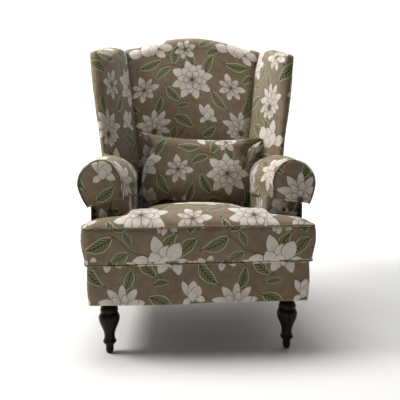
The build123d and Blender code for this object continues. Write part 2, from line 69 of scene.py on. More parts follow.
CREST_Z = top_of("inside_back_cover")
HEM_Z = low_of("base_front_cover")
DECK_Z = top_of("seat_deck_cover")
CUSHION_Z = (low_of("seat_cushion_bottom_panel"), top_of("seat_cushion_boxing"))
CUSHION_HALF = half_width("seat_cushion_boxing")
CUSHION_REAR_D = depths("seat_cushion_boxing")[1]
ARM_TOP_Z = top_of("right_arm_cap")
ARM_OUTER = half_width("right_arm_cap")
ARM_BODY_TOP = top_of("right_inside_arm_cover")
CAP_FRONT_D, CAP_REAR_D = depths("right_arm_cap")
ROLL_REAR_D = depths("right_arm_roll_cover")[1]
BACK_HALF = 316.0        # half width of the outside back
TOP_HALF = 277.0         # half width of the inside back at its crest
EAR_D = 108.0            # how deep the cushion's ears are, in front of the arms
NECK_HALF, REAR_HALF = 222.0, 201.0     # half width of the cushion behind its ears
SHOULDER_X, SHOULDER_DROP = 172.0, 26.0
CREST_D, CREST_FULL, CREST_PUFF = 630.0, 0.8, 3.0   # where the crest is highest, how full
ARCH_SHIFT = 14.0        # how far right of the middle the crest's arch is highest
CROWN_PEAK = 60.0        # top of the seat cushion above its upper seam
EAR_SPREAD = 0.026       # how much the cushion's ears bulge past their lower seam


def place(x, d, z):
    return Vector((x * MM, d * MM + FRONT_Y, z * MM))


def depth_of(point):
    """Depth in millimetres behind the front of the seat cushion."""
    return (point.y - FRONT_Y) / MM


def smooth(t):
    t = min(max(t, 0.0), 1.0)
    return t * t * (3 - 2 * t)


def lerp(a, b, t):
    return a + (b - a) * t


def lengths(points):
    """Length along a line, in its own units, up to each of its points."""
    run = [0.0]
    for a, b in zip(points, points[1:]):
        run.append(run[-1] + (Vector(b) - Vector(a)).length)
    return run


def between(points, x):
    """Value at x of the broken line through (x, value) points."""
    if x <= points[0][0]:
        return points[0][1]
    for (x0, v0), (x1, v1) in zip(points, points[1:]):
        if x <= x1:
            return lerp(v0, v1, (x - x0) / (x1 - x0))
    return points[-1][1]


def side_x(d):
    """Half width of the base."""
    return 350 - 0.0406 * (d - 24)


def back_face(z):
    """Depth of the inside back's face, which leans back as it rises."""
    return 487 + 0.1404 * (z - 428)


def back_outside(z):
    """Depth of the outside back."""
    return 665 + 0.087 * (z - 165)


def root_x(z, side=0.0):
    """Width of the inside back to one side, where the wing starts; it sits a bit right."""
    aside = 9 * smooth((z - 560) / 160)
    flare = 12 * max(side, 0.0) * smooth((z - 990) / 70)
    return 213 + 0.128 * (z - 575) + side * aside + flare


def crest_z(x):
    """Top edge of the back: an arch that runs out into the shoulders."""
    x = abs(x)
    if x < SHOULDER_X:
        return CREST_Z - SHOULDER_DROP * (x / SHOULDER_X) ** 2
    return CREST_Z - SHOULDER_DROP - 0.333 * (x - SHOULDER_X)


def arch_z(x, edge):
    """The top edge with its arch moved aside; edge is x from -1 to 1 over the back."""
    return crest_z(x - ARCH_SHIFT * (1 - edge * edge))


# ---- materials ----------------------------------------------------------------------
class Nodes:
    """Builds a node tree by calls, so that long sums stay readable."""

    def __init__(self, name):
        self.material = bpy.data.materials.new(name)
        self.material.use_nodes = True
        self.tree = self.material.node_tree
        self.tree.nodes.clear()

    def new(self, kind, **settings):
        node = self.tree.nodes.new(kind)
        for key, value in settings.items():
            setattr(node, key, value)
        return node

    def plug(self, socket, value):
        if isinstance(value, bpy.types.NodeSocket):
            self.tree.links.new(value, socket)
        elif value is not None:
            socket.default_value = value

    def math(self, operation, a, b=None, c=None):
        node = self.new("ShaderNodeMath", operation=operation)
        for socket, value in zip(node.inputs, (a, b, c)):
            self.plug(socket, value)
        return node.outputs[0]

    def add(self, a, b):
        return self.math("ADD", a, b)

    def sub(self, a, b):
        return self.math("SUBTRACT", a, b)

    def mul(self, a, b):
        return self.math("MULTIPLY", a, b)

    def madd(self, a, b, c):
        return self.math("MULTIPLY_ADD", a, b, c)

    def step(self, value, low, high, out=(0.0, 1.0)):
        """Smooth step of a value from low to high; the curve itself stays in its range."""
        node = self.new("ShaderNodeMapRange", interpolation_type="SMOOTHSTEP", clamp=False)
        for socket, item in zip(node.inputs, (value, low, high, *out)):
            self.plug(socket, item)
        return node.outputs[0]

    def mix(self, factor, a, b):
        node = self.new("ShaderNodeMix", data_type="RGBA")
        self.plug(node.inputs[0], factor)
        self.plug(node.inputs[6], a)
        self.plug(node.inputs[7], b)
        return node.outputs[2]

    def noise(self, vector, scale, detail=2.0, rough=0.5, output="Fac"):
        node = self.new("ShaderNodeTexNoise")
        given = {"Vector": vector, "Scale": scale, "Detail": detail, "Roughness": rough}
        for name, value in given.items():
            self.plug(node.inputs[name], value)
        return node.outputs[output]

    def split(self, vector):
        """The x, y and z of a vector."""
        node = self.new("ShaderNodeSeparateXYZ")
        self.plug(node.inputs[0], vector)
        return node.outputs

    def object_point(self):
        return self.new("ShaderNodeTexCoord").outputs["Object"]

    def bump(self, height, strength, distance):
        node = self.new("ShaderNodeBump")
        node.inputs["Strength"].default_value = strength
        node.inputs["Distance"].default_value = distance
        self.plug(node.inputs["Height"], height)
        return node.outputs[0]

    def shader(self, color, roughness, normal=None, **constants):
        node = self.new("ShaderNodeBsdfPrincipled")
        self.plug(node.inputs["Base Color"], color)
        self.plug(node.inputs["Roughness"], roughness)
        self.plug(node.inputs["Normal"], normal)
        for name, value in constants.items():
            self.plug(node.inputs[name.replace("_", " ")], value)
        out = self.new("ShaderNodeOutputMaterial")
        self.tree.links.new(node.outputs[0], out.inputs["Surface"])
        return self.material


# The print: one repeat is PRINT_W by PRINT_H metres of cloth. Motifs are placed in it in
# millimetres, u across and v up, and each one wraps round the repeat's edges.
PRINT_W, PRINT_H = 0.355, 0.48
THREAD_PITCH = 0.0013    # metres from thread to thread
HAND_DRAWN = (0.0062, 0.0062, 0)     # metres by which the print's lines wander
# A drawn line's width in metres: where it has faded out, and where it is full.
PETAL_LINE, PETAL_FOLD, STEM_LINE = (0.0024, 0.0009), (0.0030, 0.0010), (0.0024, 0.0012)
MOTIF_EDGE = (-0.012, 0.012)         # the same for a leaf's edge, in half lengths
GROUND = (0.210, 0.153, 0.099, 1)
GROUND_DARK = (0.172, 0.123, 0.077, 1)
PETAL = (0.69, 0.645, 0.575, 1)
PETAL_SHADE = (0.235, 0.178, 0.135, 1)
OUTLINE = (0.085, 0.052, 0.038, 1)
LEAF = (0.070, 0.077, 0.020, 1)
LEAF_VEIN = (0.018, 0.022, 0.009, 1)
LEAF_EDGE = (0.33, 0.335, 0.18, 1)
STEM = (0.075, 0.060, 0.030, 1)

# (u, v, radius, petals, turn in degrees, sharp, rim, seed, shade) of each ring of petals;
# a small sharp makes the petals pointed, and rim is how deep the notches between them are
RINGS = [
    (0, 937, 86, 8, 8, 1.3, 0.44, 3.0, 0.85), (0, 937, 62, 8, 30, 1.5, 0.36, 5.0, 1.0),
    (2, 935, 41, 6, 30, 2.2, 0.28, 9.0, 1.0),
    (160, 922, 60, 7, 22, 1.45, 0.50, 17.0, 1.0), (160, 922, 35, 6, 50, 1.4, 0.44, 19.0, 1.1),
    (200, 760, 76, 9, 10, 1.35, 0.46, 21.0, 0.75), (200, 745, 58, 8, 32, 1.4, 0.44, 24.0, 0.9),
    (200, 736, 36, 7, 40, 1.8, 0.36, 33.0, 1.1),
    (-27, 1066, 46, 6, 15, 1.5, 0.46, 45.0, 0.9), (-27, 1064, 26, 5, 40, 1.8, 0.4, 47.0, 1.0),
]
CENTRES = [(0, 937, 10), (160, 922, 9), (200, 736, 14), (-27, 1066, 8)]
CUP, BUD = (-168, 1099), (59, 796)

# (u, v, length, width, angle of the tip in degrees, bend)
LEAVES = [
    (-172, 1018, 100, 38, 186, 0.15), (-122, 978, 78, 33, 215, -0.2),
    (-66, 1052, 94, 38, 74, 0.15), (-12, 1034, 92, 36, 130, -0.2),
    (66, 1008, 94, 38, 68, 0.2), (92, 1064, 72, 30, 28, 0.1),
    (-84, 884, 94, 36, 128, 0.2), (108, 852, 98, 38, 312, -0.2),
    (-132, 846, 78, 32, 74, -0.1), (-34, 834, 56, 22, 8, 0.2),
    (-30, 768, 100, 42, 326, 0.2), (72, 722, 78, 34, 40, -0.15),
    (-76, 722, 62, 32, 72, 0.1), (-3, 655, 98, 42, 205, 0.2), (54, 616, 74, 34, 215, -0.1),
    (-94, 652, 84, 38, 228, -0.2), (84, 676, 50, 24, 298, 0.1), (-148, 664, 84, 36, 60, 0.2),
]

# (u, v) of the ends of each stem and the bend of its middle
STEMS = [
    (-66, 1018, -30, 985, 6), (-30, 985, -128, 1004, -8), (-84, 905, -30, 836, 6),
    (108, 880, 128, 906, -5), (-132, 815, -150, 790, 4), (60, 1000, 24, 985, -5),
    (70, 745, 66, 770, 3), (-30, 745, -74, 700, 8), (30, 690, 78, 650, 5),
    (-168, 1060, -60, 1015, 8), (78, 650, 150, 626, -5), (-150, 630, -182, 622, 4),
]


class Group(Nodes):
    """A node group with number inputs, and a colour that goes in and comes out painted."""

    def __init__(self, name, *inputs):
        self.tree = bpy.data.node_groups.new(name, "ShaderNodeTree")
        self.tree.interface.new_socket("color", in_out="INPUT", socket_type="NodeSocketColor")
        for item in inputs:
            self.tree.interface.new_socket(item, in_out="INPUT", socket_type="NodeSocketFloat")
        self.tree.interface.new_socket("color", in_out="OUTPUT", socket_type="NodeSocketColor")
        self.input = self.new("NodeGroupInput").outputs
        self.result = self.new("NodeGroupOutput").inputs

    def paint(self, mask, color):
        """Ends the group: color goes over what came in where the mask is 1."""
        self.plug(self.result[0], self.mix(mask, self.input["color"], color))
        return self.tree

    def local(self):
        """The point measured from the motif's centre, wrapped to half a repeat each way."""
        found = []
        for axis, period in (("u", PRINT_W), ("v", PRINT_H)):
            shifted = self.sub(self.input[axis], self.input["centre " + axis])
            found.append(self.math("WRAP", shifted, period / 2, -period / 2))
        return found

    def turned(self, x, y):
        """Coordinates along and across a motif, in units of its half length."""
        c, s = self.input["cos"], self.input["sin"]
        along = self.madd(x, c, self.mul(y, s))
        across = self.sub(self.mul(y, c), self.mul(x, s))
        return along, across


PLACE = ("u", "v", "centre u", "centre v")


def petals_group():
    """A ring of petals: edges dark, folds between them, fine lines along them."""
    n = Group("petals", *PLACE, "radius", "count", "turn", "sharp", "rim", "seed", "shade")
    x, y = n.local()
    radius, count = n.input["radius"], n.input["count"]
    r = n.math("SQRT", n.madd(x, x, n.mul(y, y)))
    angle = n.math("ARCTAN2", y, x)
    turns = n.mul(n.madd(angle, 1 / (2 * math.pi), n.add(n.input["turn"], 3.0)), count)
    index = n.math("FLOOR", n.math("MODULO", turns, count))
    across = n.madd(n.math("FRACT", turns), 2.0, -1.0)
    away = n.math("ABSOLUTE", across)
    random = n.new("ShaderNodeTexWhiteNoise", noise_dimensions="1D")
    n.plug(random.inputs["W"], n.add(index, n.input["seed"]))
    size = n.mul(n.madd(random.outputs["Value"], 0.22, 0.88), radius)
    curve = n.math("POWER", away, n.input["sharp"])
    edge = n.sub(size, n.mul(curve, n.mul(size, n.input["rim"])))
    inside = n.sub(edge, r)
    line = n.step(inside, *PETAL_LINE)
    fold = n.step(n.mul(n.sub(1.0, away), r), *PETAL_FOLD)
    hairs = n.math("SINE", n.mul(across, 19.0))
    inner = n.step(n.math("DIVIDE", r, radius), 0.95, 0.15)
    tone = n.mul(n.madd(hairs, 0.42, 0.72), n.mul(inner, n.input["shade"]))
    tone = n.add(tone, n.step(inside, 0.009, 0.001, (0.0, 0.35)))
    petal = n.mix(tone, PETAL, PETAL_SHADE)
    petal = n.mix(n.math("MAXIMUM", line, fold), petal, OUTLINE)
    return n.paint(n.step(inside, -0.0004, 0.0004), petal)


def centre_group():
    """The dark middle of a flower."""
    n = Group("flower centre", *PLACE, "radius")
    x, y = n.local()
    r = n.math("DIVIDE", n.math("SQRT", n.madd(x, x, n.mul(y, y))), n.input["radius"])
    return n.paint(n.step(r, 1.0, 0.55), OUTLINE)


def leaf_group():
    """A pointed leaf with a pale edge, a dark spine and slanting ribs."""
    n = Group("leaf", *PLACE, "cos", "sin", "ratio", "bend")
    along, across = n.turned(*n.local())
    across = n.add(across, n.mul(n.mul(along, along), n.input["bend"]))
    taper = n.mul(n.sub(1.0, n.mul(along, along)), n.input["ratio"])
    taper = n.mul(taper, n.math("MAXIMUM", n.madd(along, -0.28, 1.0), 0.2))
    away = n.math("ABSOLUTE", across)
    inside = n.sub(taper, away)
    ribs = n.math("SINE", n.mul(n.sub(along, n.mul(away, 1.3)), 27.0))
    body = n.mix(n.step(ribs, 0.25, 0.95, (0.0, 0.75)), LEAF, LEAF_EDGE)
    body = n.mix(n.step(inside, 0.165, 0.09), body, LEAF_EDGE)
    body = n.mix(n.step(away, 0.045, 0.018), body, LEAF_VEIN)
    body = n.mix(n.step(inside, 0.045, 0.012), body, LEAF_VEIN)
    return n.paint(n.step(inside, *MOTIF_EDGE), body)


def petal_group():
    """One petal of a cup-shaped flower, from its foot outwards."""
    n = Group("petal", *PLACE, "du", "dv", "cos", "sin", "ratio", "tone")
    x, y = n.local()
    along, across = n.turned(n.sub(x, n.input["du"]), n.sub(y, n.input["dv"]))
    taper = n.mul(n.sub(1.0, n.mul(along, along)), n.input["ratio"])
    taper = n.mul(taper, n.math("MAXIMUM", n.madd(along, 0.22, 1.0), 0.2))
    inside = n.sub(taper, n.math("ABSOLUTE", across))
    hairs = n.math("SINE", n.math("DIVIDE", n.mul(across, 9.0), n.add(taper, 0.05)))
    shade = n.mul(n.madd(hairs, 0.22, 0.5), n.step(along, 0.35, -1.0, (0.15, 1.0)))
    petal = n.mix(n.mul(shade, n.input["tone"]), PETAL, PETAL_SHADE)
    petal = n.mix(n.step(inside, 0.085, 0.03), petal, OUTLINE)
    return n.paint(n.step(inside, *MOTIF_EDGE), petal)


def stem_group():
    """A thin bent line; its width is the same whatever its length."""
    n = Group("stem", *PLACE, "cos", "sin", "bend")
    along, across = n.turned(*n.local())
    across = n.add(across, n.mul(n.madd(along, along, -1.0), n.input["bend"]))
    size = n.math("SQRT", n.madd(n.input["cos"], n.input["cos"],
                                 n.mul(n.input["sin"], n.input["sin"])))
    width = n.math("DIVIDE", n.math("ABSOLUTE", across), size)
    ends = n.step(n.math("ABSOLUTE", along), 1.03, 0.97)
    return n.paint(n.mul(n.step(width, *STEM_LINE), ends), STEM)


class Print:
    """Paints motifs one over another; color holds what is painted so far."""

    def __init__(self, n, u, v, color):
        self.n, self.u, self.v, self.color = n, u, v, color
        self.groups = {
            "petals": petals_group(), "centre": centre_group(), "leaf": leaf_group(),
            "petal": petal_group(), "stem": stem_group(),
        }

    def stamp(self, kind, u, v, *values):
        node = self.n.new("ShaderNodeGroup", node_tree=self.groups[kind])
        given = (self.color, self.u, self.v, u * MM, v * MM) + values
        for socket, value in zip(node.inputs, given):
            self.n.plug(socket, value)
        self.color = node.outputs[0]

    def petals(self, u, v, radius, count, turn, sharp, rim, seed, shade):
        self.stamp("petals", u, v, radius * MM, count, turn / 360, sharp, rim, seed, shade)

    def leaf(self, u, v, length, width, angle, bend):
        c, s = heading(length * 1.08, angle)
        self.stamp("leaf", u, v, c, s, width / length * 1.06, bend)

    def petal(self, u, v, du, dv, length, width, angle, tone):
        c, s = heading(length, angle)
        self.stamp("petal", u, v, du * MM, dv * MM, c, s, width / length, tone)

    def stem(self, u0, v0, u1, v1, bend):
        length = math.hypot(u1 - u0, v1 - v0)
        angle = math.degrees(math.atan2(v1 - v0, u1 - u0))
        c, s = heading(length, angle)
        self.stamp("stem", (u0 + u1) / 2, (v0 + v1) / 2, c, s, 2 * bend / length)


def heading(length, angle):
    """Cosine and sine that also turn metres into half lengths of a motif."""
    half = length / 2 * MM
    return math.cos(math.radians(angle)) / half, math.sin(math.radians(angle)) / half


# (du, dv, length, width, angle, tone) of the petals of the cup and of the bud
CUP_PETALS = [
    (-58, -14, 66, 46, 168, 0.9), (62, -18, 64, 36, -14, 0.9), (-14, 30, 84, 42, 104, 0.8),
    (40, -40, 56, 30, -38, 0.8), (8, 12, 62, 40, 70, 0.7), (36, 14, 78, 50, 62, 0.5),
    (-18, -12, 70, 44, 118, 0.6), (10, -18, 50, 40, 88, 1.0),
]
BUD_PETALS = [
    (-18, 14, 60, 24, 112, 0.8), (22, -16, 50, 26, -28, 0.8), (-14, -24, 40, 22, 220, 0.7),
    (4, 14, 58, 34, 84, 0.6), (14, 2, 52, 34, 64, 0.9), (2, -10, 38, 28, 96, 0.5),
]


def floral_fabric():
    """Woven upholstery cloth with the printed flowers."""
    n = Nodes("floral_fabric")
    point = n.object_point()
    uv = n.new("ShaderNodeUVMap", uv_map="print").outputs[0]
    shift = n.new("ShaderNodeVectorMath", operation="MULTIPLY_ADD")
    wander = n.noise(uv, 42.0, 2.5, output="Color")
    for socket, value in zip(shift.inputs, (wander, HAND_DRAWN, uv)):
        n.plug(socket, value)
    u, v, _ = n.split(shift.outputs[0])

    mottle = n.noise(uv, 38.0, 3.0, 0.6)
    ground = n.mix(n.step(mottle, 0.38, 0.66), GROUND_DARK, GROUND)
    art = Print(n, u, v, ground)
    for stem in STEMS:
        art.stem(*stem)
    for leaf in LEAVES:
        art.leaf(*leaf)
    for ring in RINGS:
        art.petals(*ring)
    for centre_u, centre_v, radius in CENTRES:
        art.stamp("centre", centre_u, centre_v, radius * MM)
    for petal in CUP_PETALS:
        art.petal(*CUP, *petal)
    for petal in BUD_PETALS:
        art.petal(*BUD, *petal)

    # Threads: warp and weft ribs with slubs, in the colour and in the surface.
    across, along, _ = n.split(uv)
    turns = 2 * math.pi / THREAD_PITCH
    weave = n.mul(n.math("SINE", n.mul(across, turns)), n.math("SINE", n.mul(along, turns)))
    slub = n.noise(point, 520.0, 1.0, 0.5)
    thread = n.madd(weave, 0.10, n.mul(slub, 0.25))
    color = n.mix(n.add(thread, 0.02), art.color, (0.05, 0.04, 0.03, 1))
    worn = n.noise(point, 9.0, 2.0, 0.5)
    color = n.mix(n.step(worn, 0.35, 0.75, (0.0, 0.10)), color, (0.42, 0.38, 0.33, 1))
    height = n.madd(weave, 0.35, n.mul(slub, 0.8))
    normal = n.bump(height, 0.35, 0.0006)
    rough = n.madd(slub, 0.12, 0.80)
    return n.shader(color, rough, normal, Sheen_Weight=0.22, Sheen_Roughness=0.45,
                    Specular_IOR_Level=0.22)


def plain_cloth(name, light, dark, scale=900.0):
    n = Nodes(name)
    point = n.object_point()
    mottle = n.noise(point, 24.0, 3.0, 0.6)
    thread = n.noise(point, scale, 1.0, 0.5)
    color = n.mix(n.madd(mottle, 0.7, n.mul(thread, 0.35)), dark, light)
    normal = n.bump(thread, 0.4, 0.0005)
    return n.shader(color, n.madd(thread, 0.1, 0.82), normal, Sheen_Weight=0.15,
                    Specular_IOR_Level=0.2)


def wood(name, light, dark, gloss, coat):
    n = Nodes(name)
    point = n.object_point()
    stretch = n.new("ShaderNodeMapping")
    stretch.inputs["Scale"].default_value = (26, 26, 3.2)
    n.plug(stretch.inputs["Vector"], point)
    grain = n.noise(stretch.outputs[0], 6.0, 6.0, 0.62)
    pores = n.noise(stretch.outputs[0], 60.0, 2.0, 0.5)
    color = n.mix(n.step(grain, 0.35, 0.68), dark, light)
    color = n.mix(n.step(pores, 0.60, 0.74, (0.0, 0.6)), color, dark)
    normal = n.bump(n.madd(grain, 0.4, n.mul(pores, 0.3)), 0.12, 0.0008)
    return n.shader(color, n.madd(grain, 0.16, gloss), normal, Coat_Weight=coat,
                    Coat_Roughness=0.16, Specular_IOR_Level=0.12)


def metal(name, light, dark, rough):
    n = Nodes(name)
    point = n.object_point()
    patina = n.noise(point, 160.0, 3.0, 0.6)
    fine = n.noise(point, 1500.0, 1.0, 0.5)
    color = n.mix(n.step(patina, 0.35, 0.7), dark, light)
    return n.shader(color, n.madd(patina, 0.25, rough), n.bump(fine, 0.1, 0.0002),
                    Metallic=0.9)


def foam_material():
    n = Nodes("foam")
    point = n.object_point()
    cells = n.new("ShaderNodeTexVoronoi")
    n.plug(cells.inputs["Vector"], point)
    cells.inputs["Scale"].default_value = 380.0
    mottle = n.noise(point, 14.0, 2.0, 0.5)
    color = n.mix(mottle, (0.70, 0.60, 0.38, 1), (0.80, 0.73, 0.52, 1))
    normal = n.bump(cells.outputs["Distance"], 0.6, 0.001)
    return n.shader(color, 0.92, normal, Specular_IOR_Level=0.1)


def glide_material():
    n = Nodes("glide_plastic")
    point = n.object_point()
    fine = n.noise(point, 700.0, 2.0, 0.5)
    color = n.mix(fine, (0.018, 0.017, 0.016, 1), (0.04, 0.038, 0.036, 1))
    return n.shader(color, n.madd(fine, 0.2, 0.38), n.bump(fine, 0.15, 0.0003))


MATERIALS = {
    "floral_fabric": floral_fabric(),
    "dark_leg_wood": wood("dark_leg_wood", (0.016, 0.008, 0.005, 1),
                          (0.004, 0.003, 0.002, 1), 0.30, 0.03),
    "frame_wood": wood("frame_wood", (0.52, 0.36, 0.20, 1), (0.36, 0.23, 0.12, 1), 0.55, 0.0),
    "foam": foam_material(),
    "platform_cloth": plain_cloth("platform_cloth", (0.075, 0.065, 0.055, 1),
                                  (0.035, 0.03, 0.026, 1)),
    "webbing": plain_cloth("webbing", (0.42, 0.33, 0.20, 1), (0.26, 0.19, 0.11, 1), 500.0),
    "zip_tape": plain_cloth("zip_tape", (0.32, 0.27, 0.21, 1), (0.22, 0.18, 0.14, 1)),
    "nail_metal": metal("nail_metal", (0.10, 0.085, 0.075, 1), (0.035, 0.03, 0.027, 1), 0.32),
    "zinc_steel": metal("zinc_steel", (0.55, 0.55, 0.54, 1), (0.38, 0.38, 0.38, 1), 0.38),
    "zip_metal": metal("zip_metal", (0.60, 0.55, 0.42, 1), (0.34, 0.30, 0.22, 1), 0.30),
    "glide_plastic": glide_material(),
}


# ---- making pieces ------------------------------------------------------------------
def new_object(name, mesh):
    piece = bpy.data.objects.new(name, mesh)
    bpy.context.scene.collection.objects.link(piece)
    return piece


def dress(piece, body="chair", slot="floral_fabric", replaces=()):
    """Material, body, slot and replaced nodes of a new piece."""
    piece.data.materials.clear()
    piece.data.materials.append(MATERIALS[slot])
    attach(piece, body)
    if replaces:
        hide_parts(*replaces)


def grid(bm, rows, printed):
    """Quads between rows of points; printed has the cloth coordinate of each point."""
    layer = bm.loops.layers.uv.get("print") or bm.loops.layers.uv.new("print")
    verts = [[bm.verts.new(p) for p in row] for row in rows]
    for i in range(len(rows) - 1):
        for j in range(len(rows[i]) - 1):
            corners = ((i, j), (i, j + 1), (i + 1, j + 1), (i + 1, j))
            face = bm.faces.new([verts[a][b] for a, b in corners])
            face.smooth = True
            for loop, (a, b) in zip(face.loops, corners):
                loop[layer].uv = printed[a][b]


def sweep(levels, columns, at):
    """Rows of points and of cloth coordinates; at() gives both for shares of the two."""
    made = [[at(i / levels, j / columns) for j in range(columns + 1)]
            for i in range(levels + 1)]
    return [[[item[k] for item in row] for row in made] for k in (0, 1)]


def resample(line, count, closed=True):
    """Points evenly spaced along a line."""
    points = list(line) + ([line[0]] if closed else [])
    run = lengths(points)
    made, k = [], 0
    for i in range(count if closed else count + 1):
        goal = run[-1] * i / count
        while k < len(run) - 2 and run[k + 1] < goal:
            k += 1
        span = run[k + 1] - run[k]
        t = (goal - run[k]) / span if span > 1e-9 else 0.0
        made.append(points[k].lerp(points[k + 1], min(max(t, 0), 1)))
    return made


def subdivide(piece):
    fine = piece.modifiers.new("Fine", "SUBSURF")
    fine.levels = fine.render_levels = 1


def finish_mesh(name, bm, merge=0.0004, thickness=0.0):
    """Welds the grids into one piece; a thickness goes to the inner side of the cloth."""
    bmesh.ops.remove_doubles(bm, verts=bm.verts, dist=merge)
    loose = [f for f in bm.faces if f.calc_area() < 1e-10]
    bmesh.ops.delete(bm, geom=loose, context="FACES")
    bmesh.ops.delete(bm, geom=[v for v in bm.verts if not v.link_faces], context="VERTS")
    bmesh.ops.recalc_face_normals(bm, faces=bm.faces)
    mesh = bpy.data.meshes.new(name)
    bm.to_mesh(mesh)
    bm.free()
    piece = new_object(name, mesh)
    if thickness:
        shell = piece.modifiers.new("Cloth thickness", "SOLIDIFY")
        shell.thickness = thickness
        shell.offset = -1.0
        shell.use_even_offset = False
    return piece


def ripple(point, seed, size, height):
    """Gentle unevenness of stuffed cloth, in millimetres."""
    p = point / size + Vector((seed, seed * 1.7, -seed))
    return noise.noise(p) * height


def uneven(rows, seed, height, size):
    """Moves the points of a grid in and out along its rough normal."""
    moved = []
    count, width = len(rows), len(rows[0])
    for i, row in enumerate(rows):
        new = []
        for j, point in enumerate(row):
            a = rows[min(i + 1, count - 1)][j] - rows[max(i - 1, 0)][j]
            b = row[min(j + 1, width - 1)] - row[max(j - 1, 0)]
            normal = a.cross(b)
            if normal.length > 1e-12:
                normal.normalize()
            inner = min(i, count - 1 - i, 3) / 3 * min(j, width - 1 - j, 3) / 3
            push = ripple(point, seed, size, height) * inner
            new.append(point + normal * push * MM)
        moved.append(new)
    return moved


def print_mesh(mesh, cloth_at):
    """Smooth faces, and the cloth coordinate that cloth_at(point, polygon) gives."""
    layer = mesh.uv_layers.get("print") or mesh.uv_layers.new(name="print")
    for polygon in mesh.polygons:
        polygon.use_smooth = True
        for index in polygon.loop_indices:
            point = mesh.vertices[mesh.loops[index].vertex_index].co
            layer.data[index].uv = cloth_at(point, polygon)


def cord_along(name, points, radius, cyclic=False, body="chair"):
    """Self piping: a thin covered cord sewn along a seam, as a tube with a print."""
    curve = bpy.data.curves.new(name, "CURVE")
    curve.dimensions = "3D"
    spline = curve.splines.new("NURBS")
    spline.points.add(len(points) - 1)
    for item, point in zip(spline.points, points):
        item.co = (*point, 1.0)
    spline.order_u = 3
    spline.use_endpoint_u = not cyclic
    spline.use_cyclic_u = cyclic
    spline.resolution_u = 4
    curve.bevel_depth = radius * MM
    curve.bevel_resolution = 3
    curve.use_fill_caps = True
    holder = new_object(name, curve)
    mesh = bpy.data.meshes.new_from_object(holder)
    bpy.data.objects.remove(holder)
    piece = new_object(name, mesh)
    print_mesh(mesh, lambda p, _: (p.x + p.y, p.z * 0.5))
    dress(piece, body)


# ---- inside back --------------------------------------------------------------------
def back_row(x, edge, steps_face=46, steps_crest=16, steps_rear=10):
    """One line of the inside back, from under the cushion up and over the crest."""
    low, rise = 420.0, 54.0
    apex = arch_z(x, edge) + CREST_PUFF + 9 * smooth(4 * abs(edge) - 3)
    top = apex - rise
    line = []
    for i in range(steps_face + 1):
        z = lerp(low, top, i / steps_face)
        belly = 9 * math.sin(math.pi * smooth((z - 440) / 700))
        limit = root_x(z, edge)
        hollow = 20 * max(0.0, 1 - (1 - abs(edge)) * limit / 26) ** 2
        line.append((edge * limit, back_face(z) + 9 - belly + hollow, z))
    start = line[-1][1]
    for i in range(1, steps_crest + 1):
        turn = math.pi / 2 * i / steps_crest
        d = CREST_D - (CREST_D - start) * math.cos(turn) ** CREST_FULL
        z = top + rise * math.sin(turn) ** CREST_FULL
        line.append((edge * root_x(min(z, 1075), edge), d, z))
    rear = back_outside(apex) - 4
    for i in range(1, steps_rear + 1):
        turn = math.pi / 2 * i / steps_rear
        line.append((line[-1][0], lerp(CREST_D, rear, math.sin(turn) ** 0.9),
                     apex - 30 * (1 - math.cos(turn))))
    return line


def inside_back():
    bm = bmesh.new()
    columns = 72
    rows = []
    for j in range(columns + 1):
        edge = -1 + 2 * j / columns
        edge = math.copysign(abs(edge) ** 0.85, edge)
        rows.append([place(*p) for p in back_row(edge * TOP_HALF, edge)])
    rows = uneven(rows, 3.1, 2.6, 0.12)
    tuck = Vector((28, 0, -30)) * MM      # the edges run on into the seams under the wings
    rows = ([[p + tuck * Vector((-1, 1, 1)) for p in rows[0]]] + rows
            + [[p + tuck for p in rows[-1]]])
    height = lengths(rows[len(rows) // 2])
    printed = [[(p.x - 0.009, 0.409 + height[j]) for j, p in enumerate(row)] for row in rows]
    grid(bm, rows, printed)
    piece = finish_mesh("inside_back_upholstery", bm)
    dress(piece, replaces=("inside_back_cover", "back_pad"))


# ---- outside back -------------------------------------------------------------------
def outside_back():
    def at(rise, across):
        edge = -1 + 2 * across
        x = edge * BACK_HALF
        z = lerp(HEM_Z, arch_z(x, edge) - 22, rise)
        d = back_outside(z) + 1.0 - 2.5 * (1 - edge * edge) - 6 * abs(edge) ** 14
        return place(x, d, z), None

    bm = bmesh.new()
    rows = uneven(sweep(44, 40, at)[0], 8.4, 1.2, 0.2)
    grid(bm, rows, [[(-p.x + 0.05, p.z + 0.03) for p in row] for row in rows])
    piece = finish_mesh("outside_back_upholstery", bm, thickness=0.003)
    dress(piece, replaces=("outside_back_panel",))
    edge_line = ([row[0] for row in rows] + rows[-1][1:]
                 + [row[-1] for row in reversed(rows)][1:])
    cord_along("outside_back_piping", edge_line[::2], 2.4)


# ---- wings --------------------------------------------------------------------------
# (depth, z) of the top edge, and (z, depth) of the front edge
WING_TOP = [(338, 990), (350, 1005), (385, 1018), (510, 1054), (600, 1063), (735, 1063)]
WING_NOSE = [(560, 338), (632, 336), (860, 326), (965, 331), (1000, 338), (1012, 350)]
WING_PRINT = {1: (0.101, -0.083), -1: (0.235, 0.025)}   # the print at the front edge


def wing_top_z(d):
    return between(WING_TOP, d)


def wing_nose_d(z):
    """Depth of the wing's front edge."""
    return between(WING_NOSE, min(z, 1010))


def wing_outer_x(z, d):
    front = 342 + 0.1 * (z - 632)
    rear_d = back_outside(z) - 7
    t = (d - 352) / (rear_d - 352)
    return lerp(front, BACK_HALF, min(max(t, 0), 1))


def wing_inner_x(z, d, side):
    front = 306 + 12 * smooth((z - 575) / 150)
    deep = back_face(z) + 26
    t = (d - 355) / (deep - 355)
    return lerp(front, root_x(z, side), min(max(t, 0), 1))


def rounded_in(distance, radius):
    """How far out a rounded edge has come at a distance from its end, from 0 to 1."""
    t = min(max(distance / radius, 0.0), 1.0)
    return math.sqrt(max(0.0, 1 - (1 - t) ** 2))


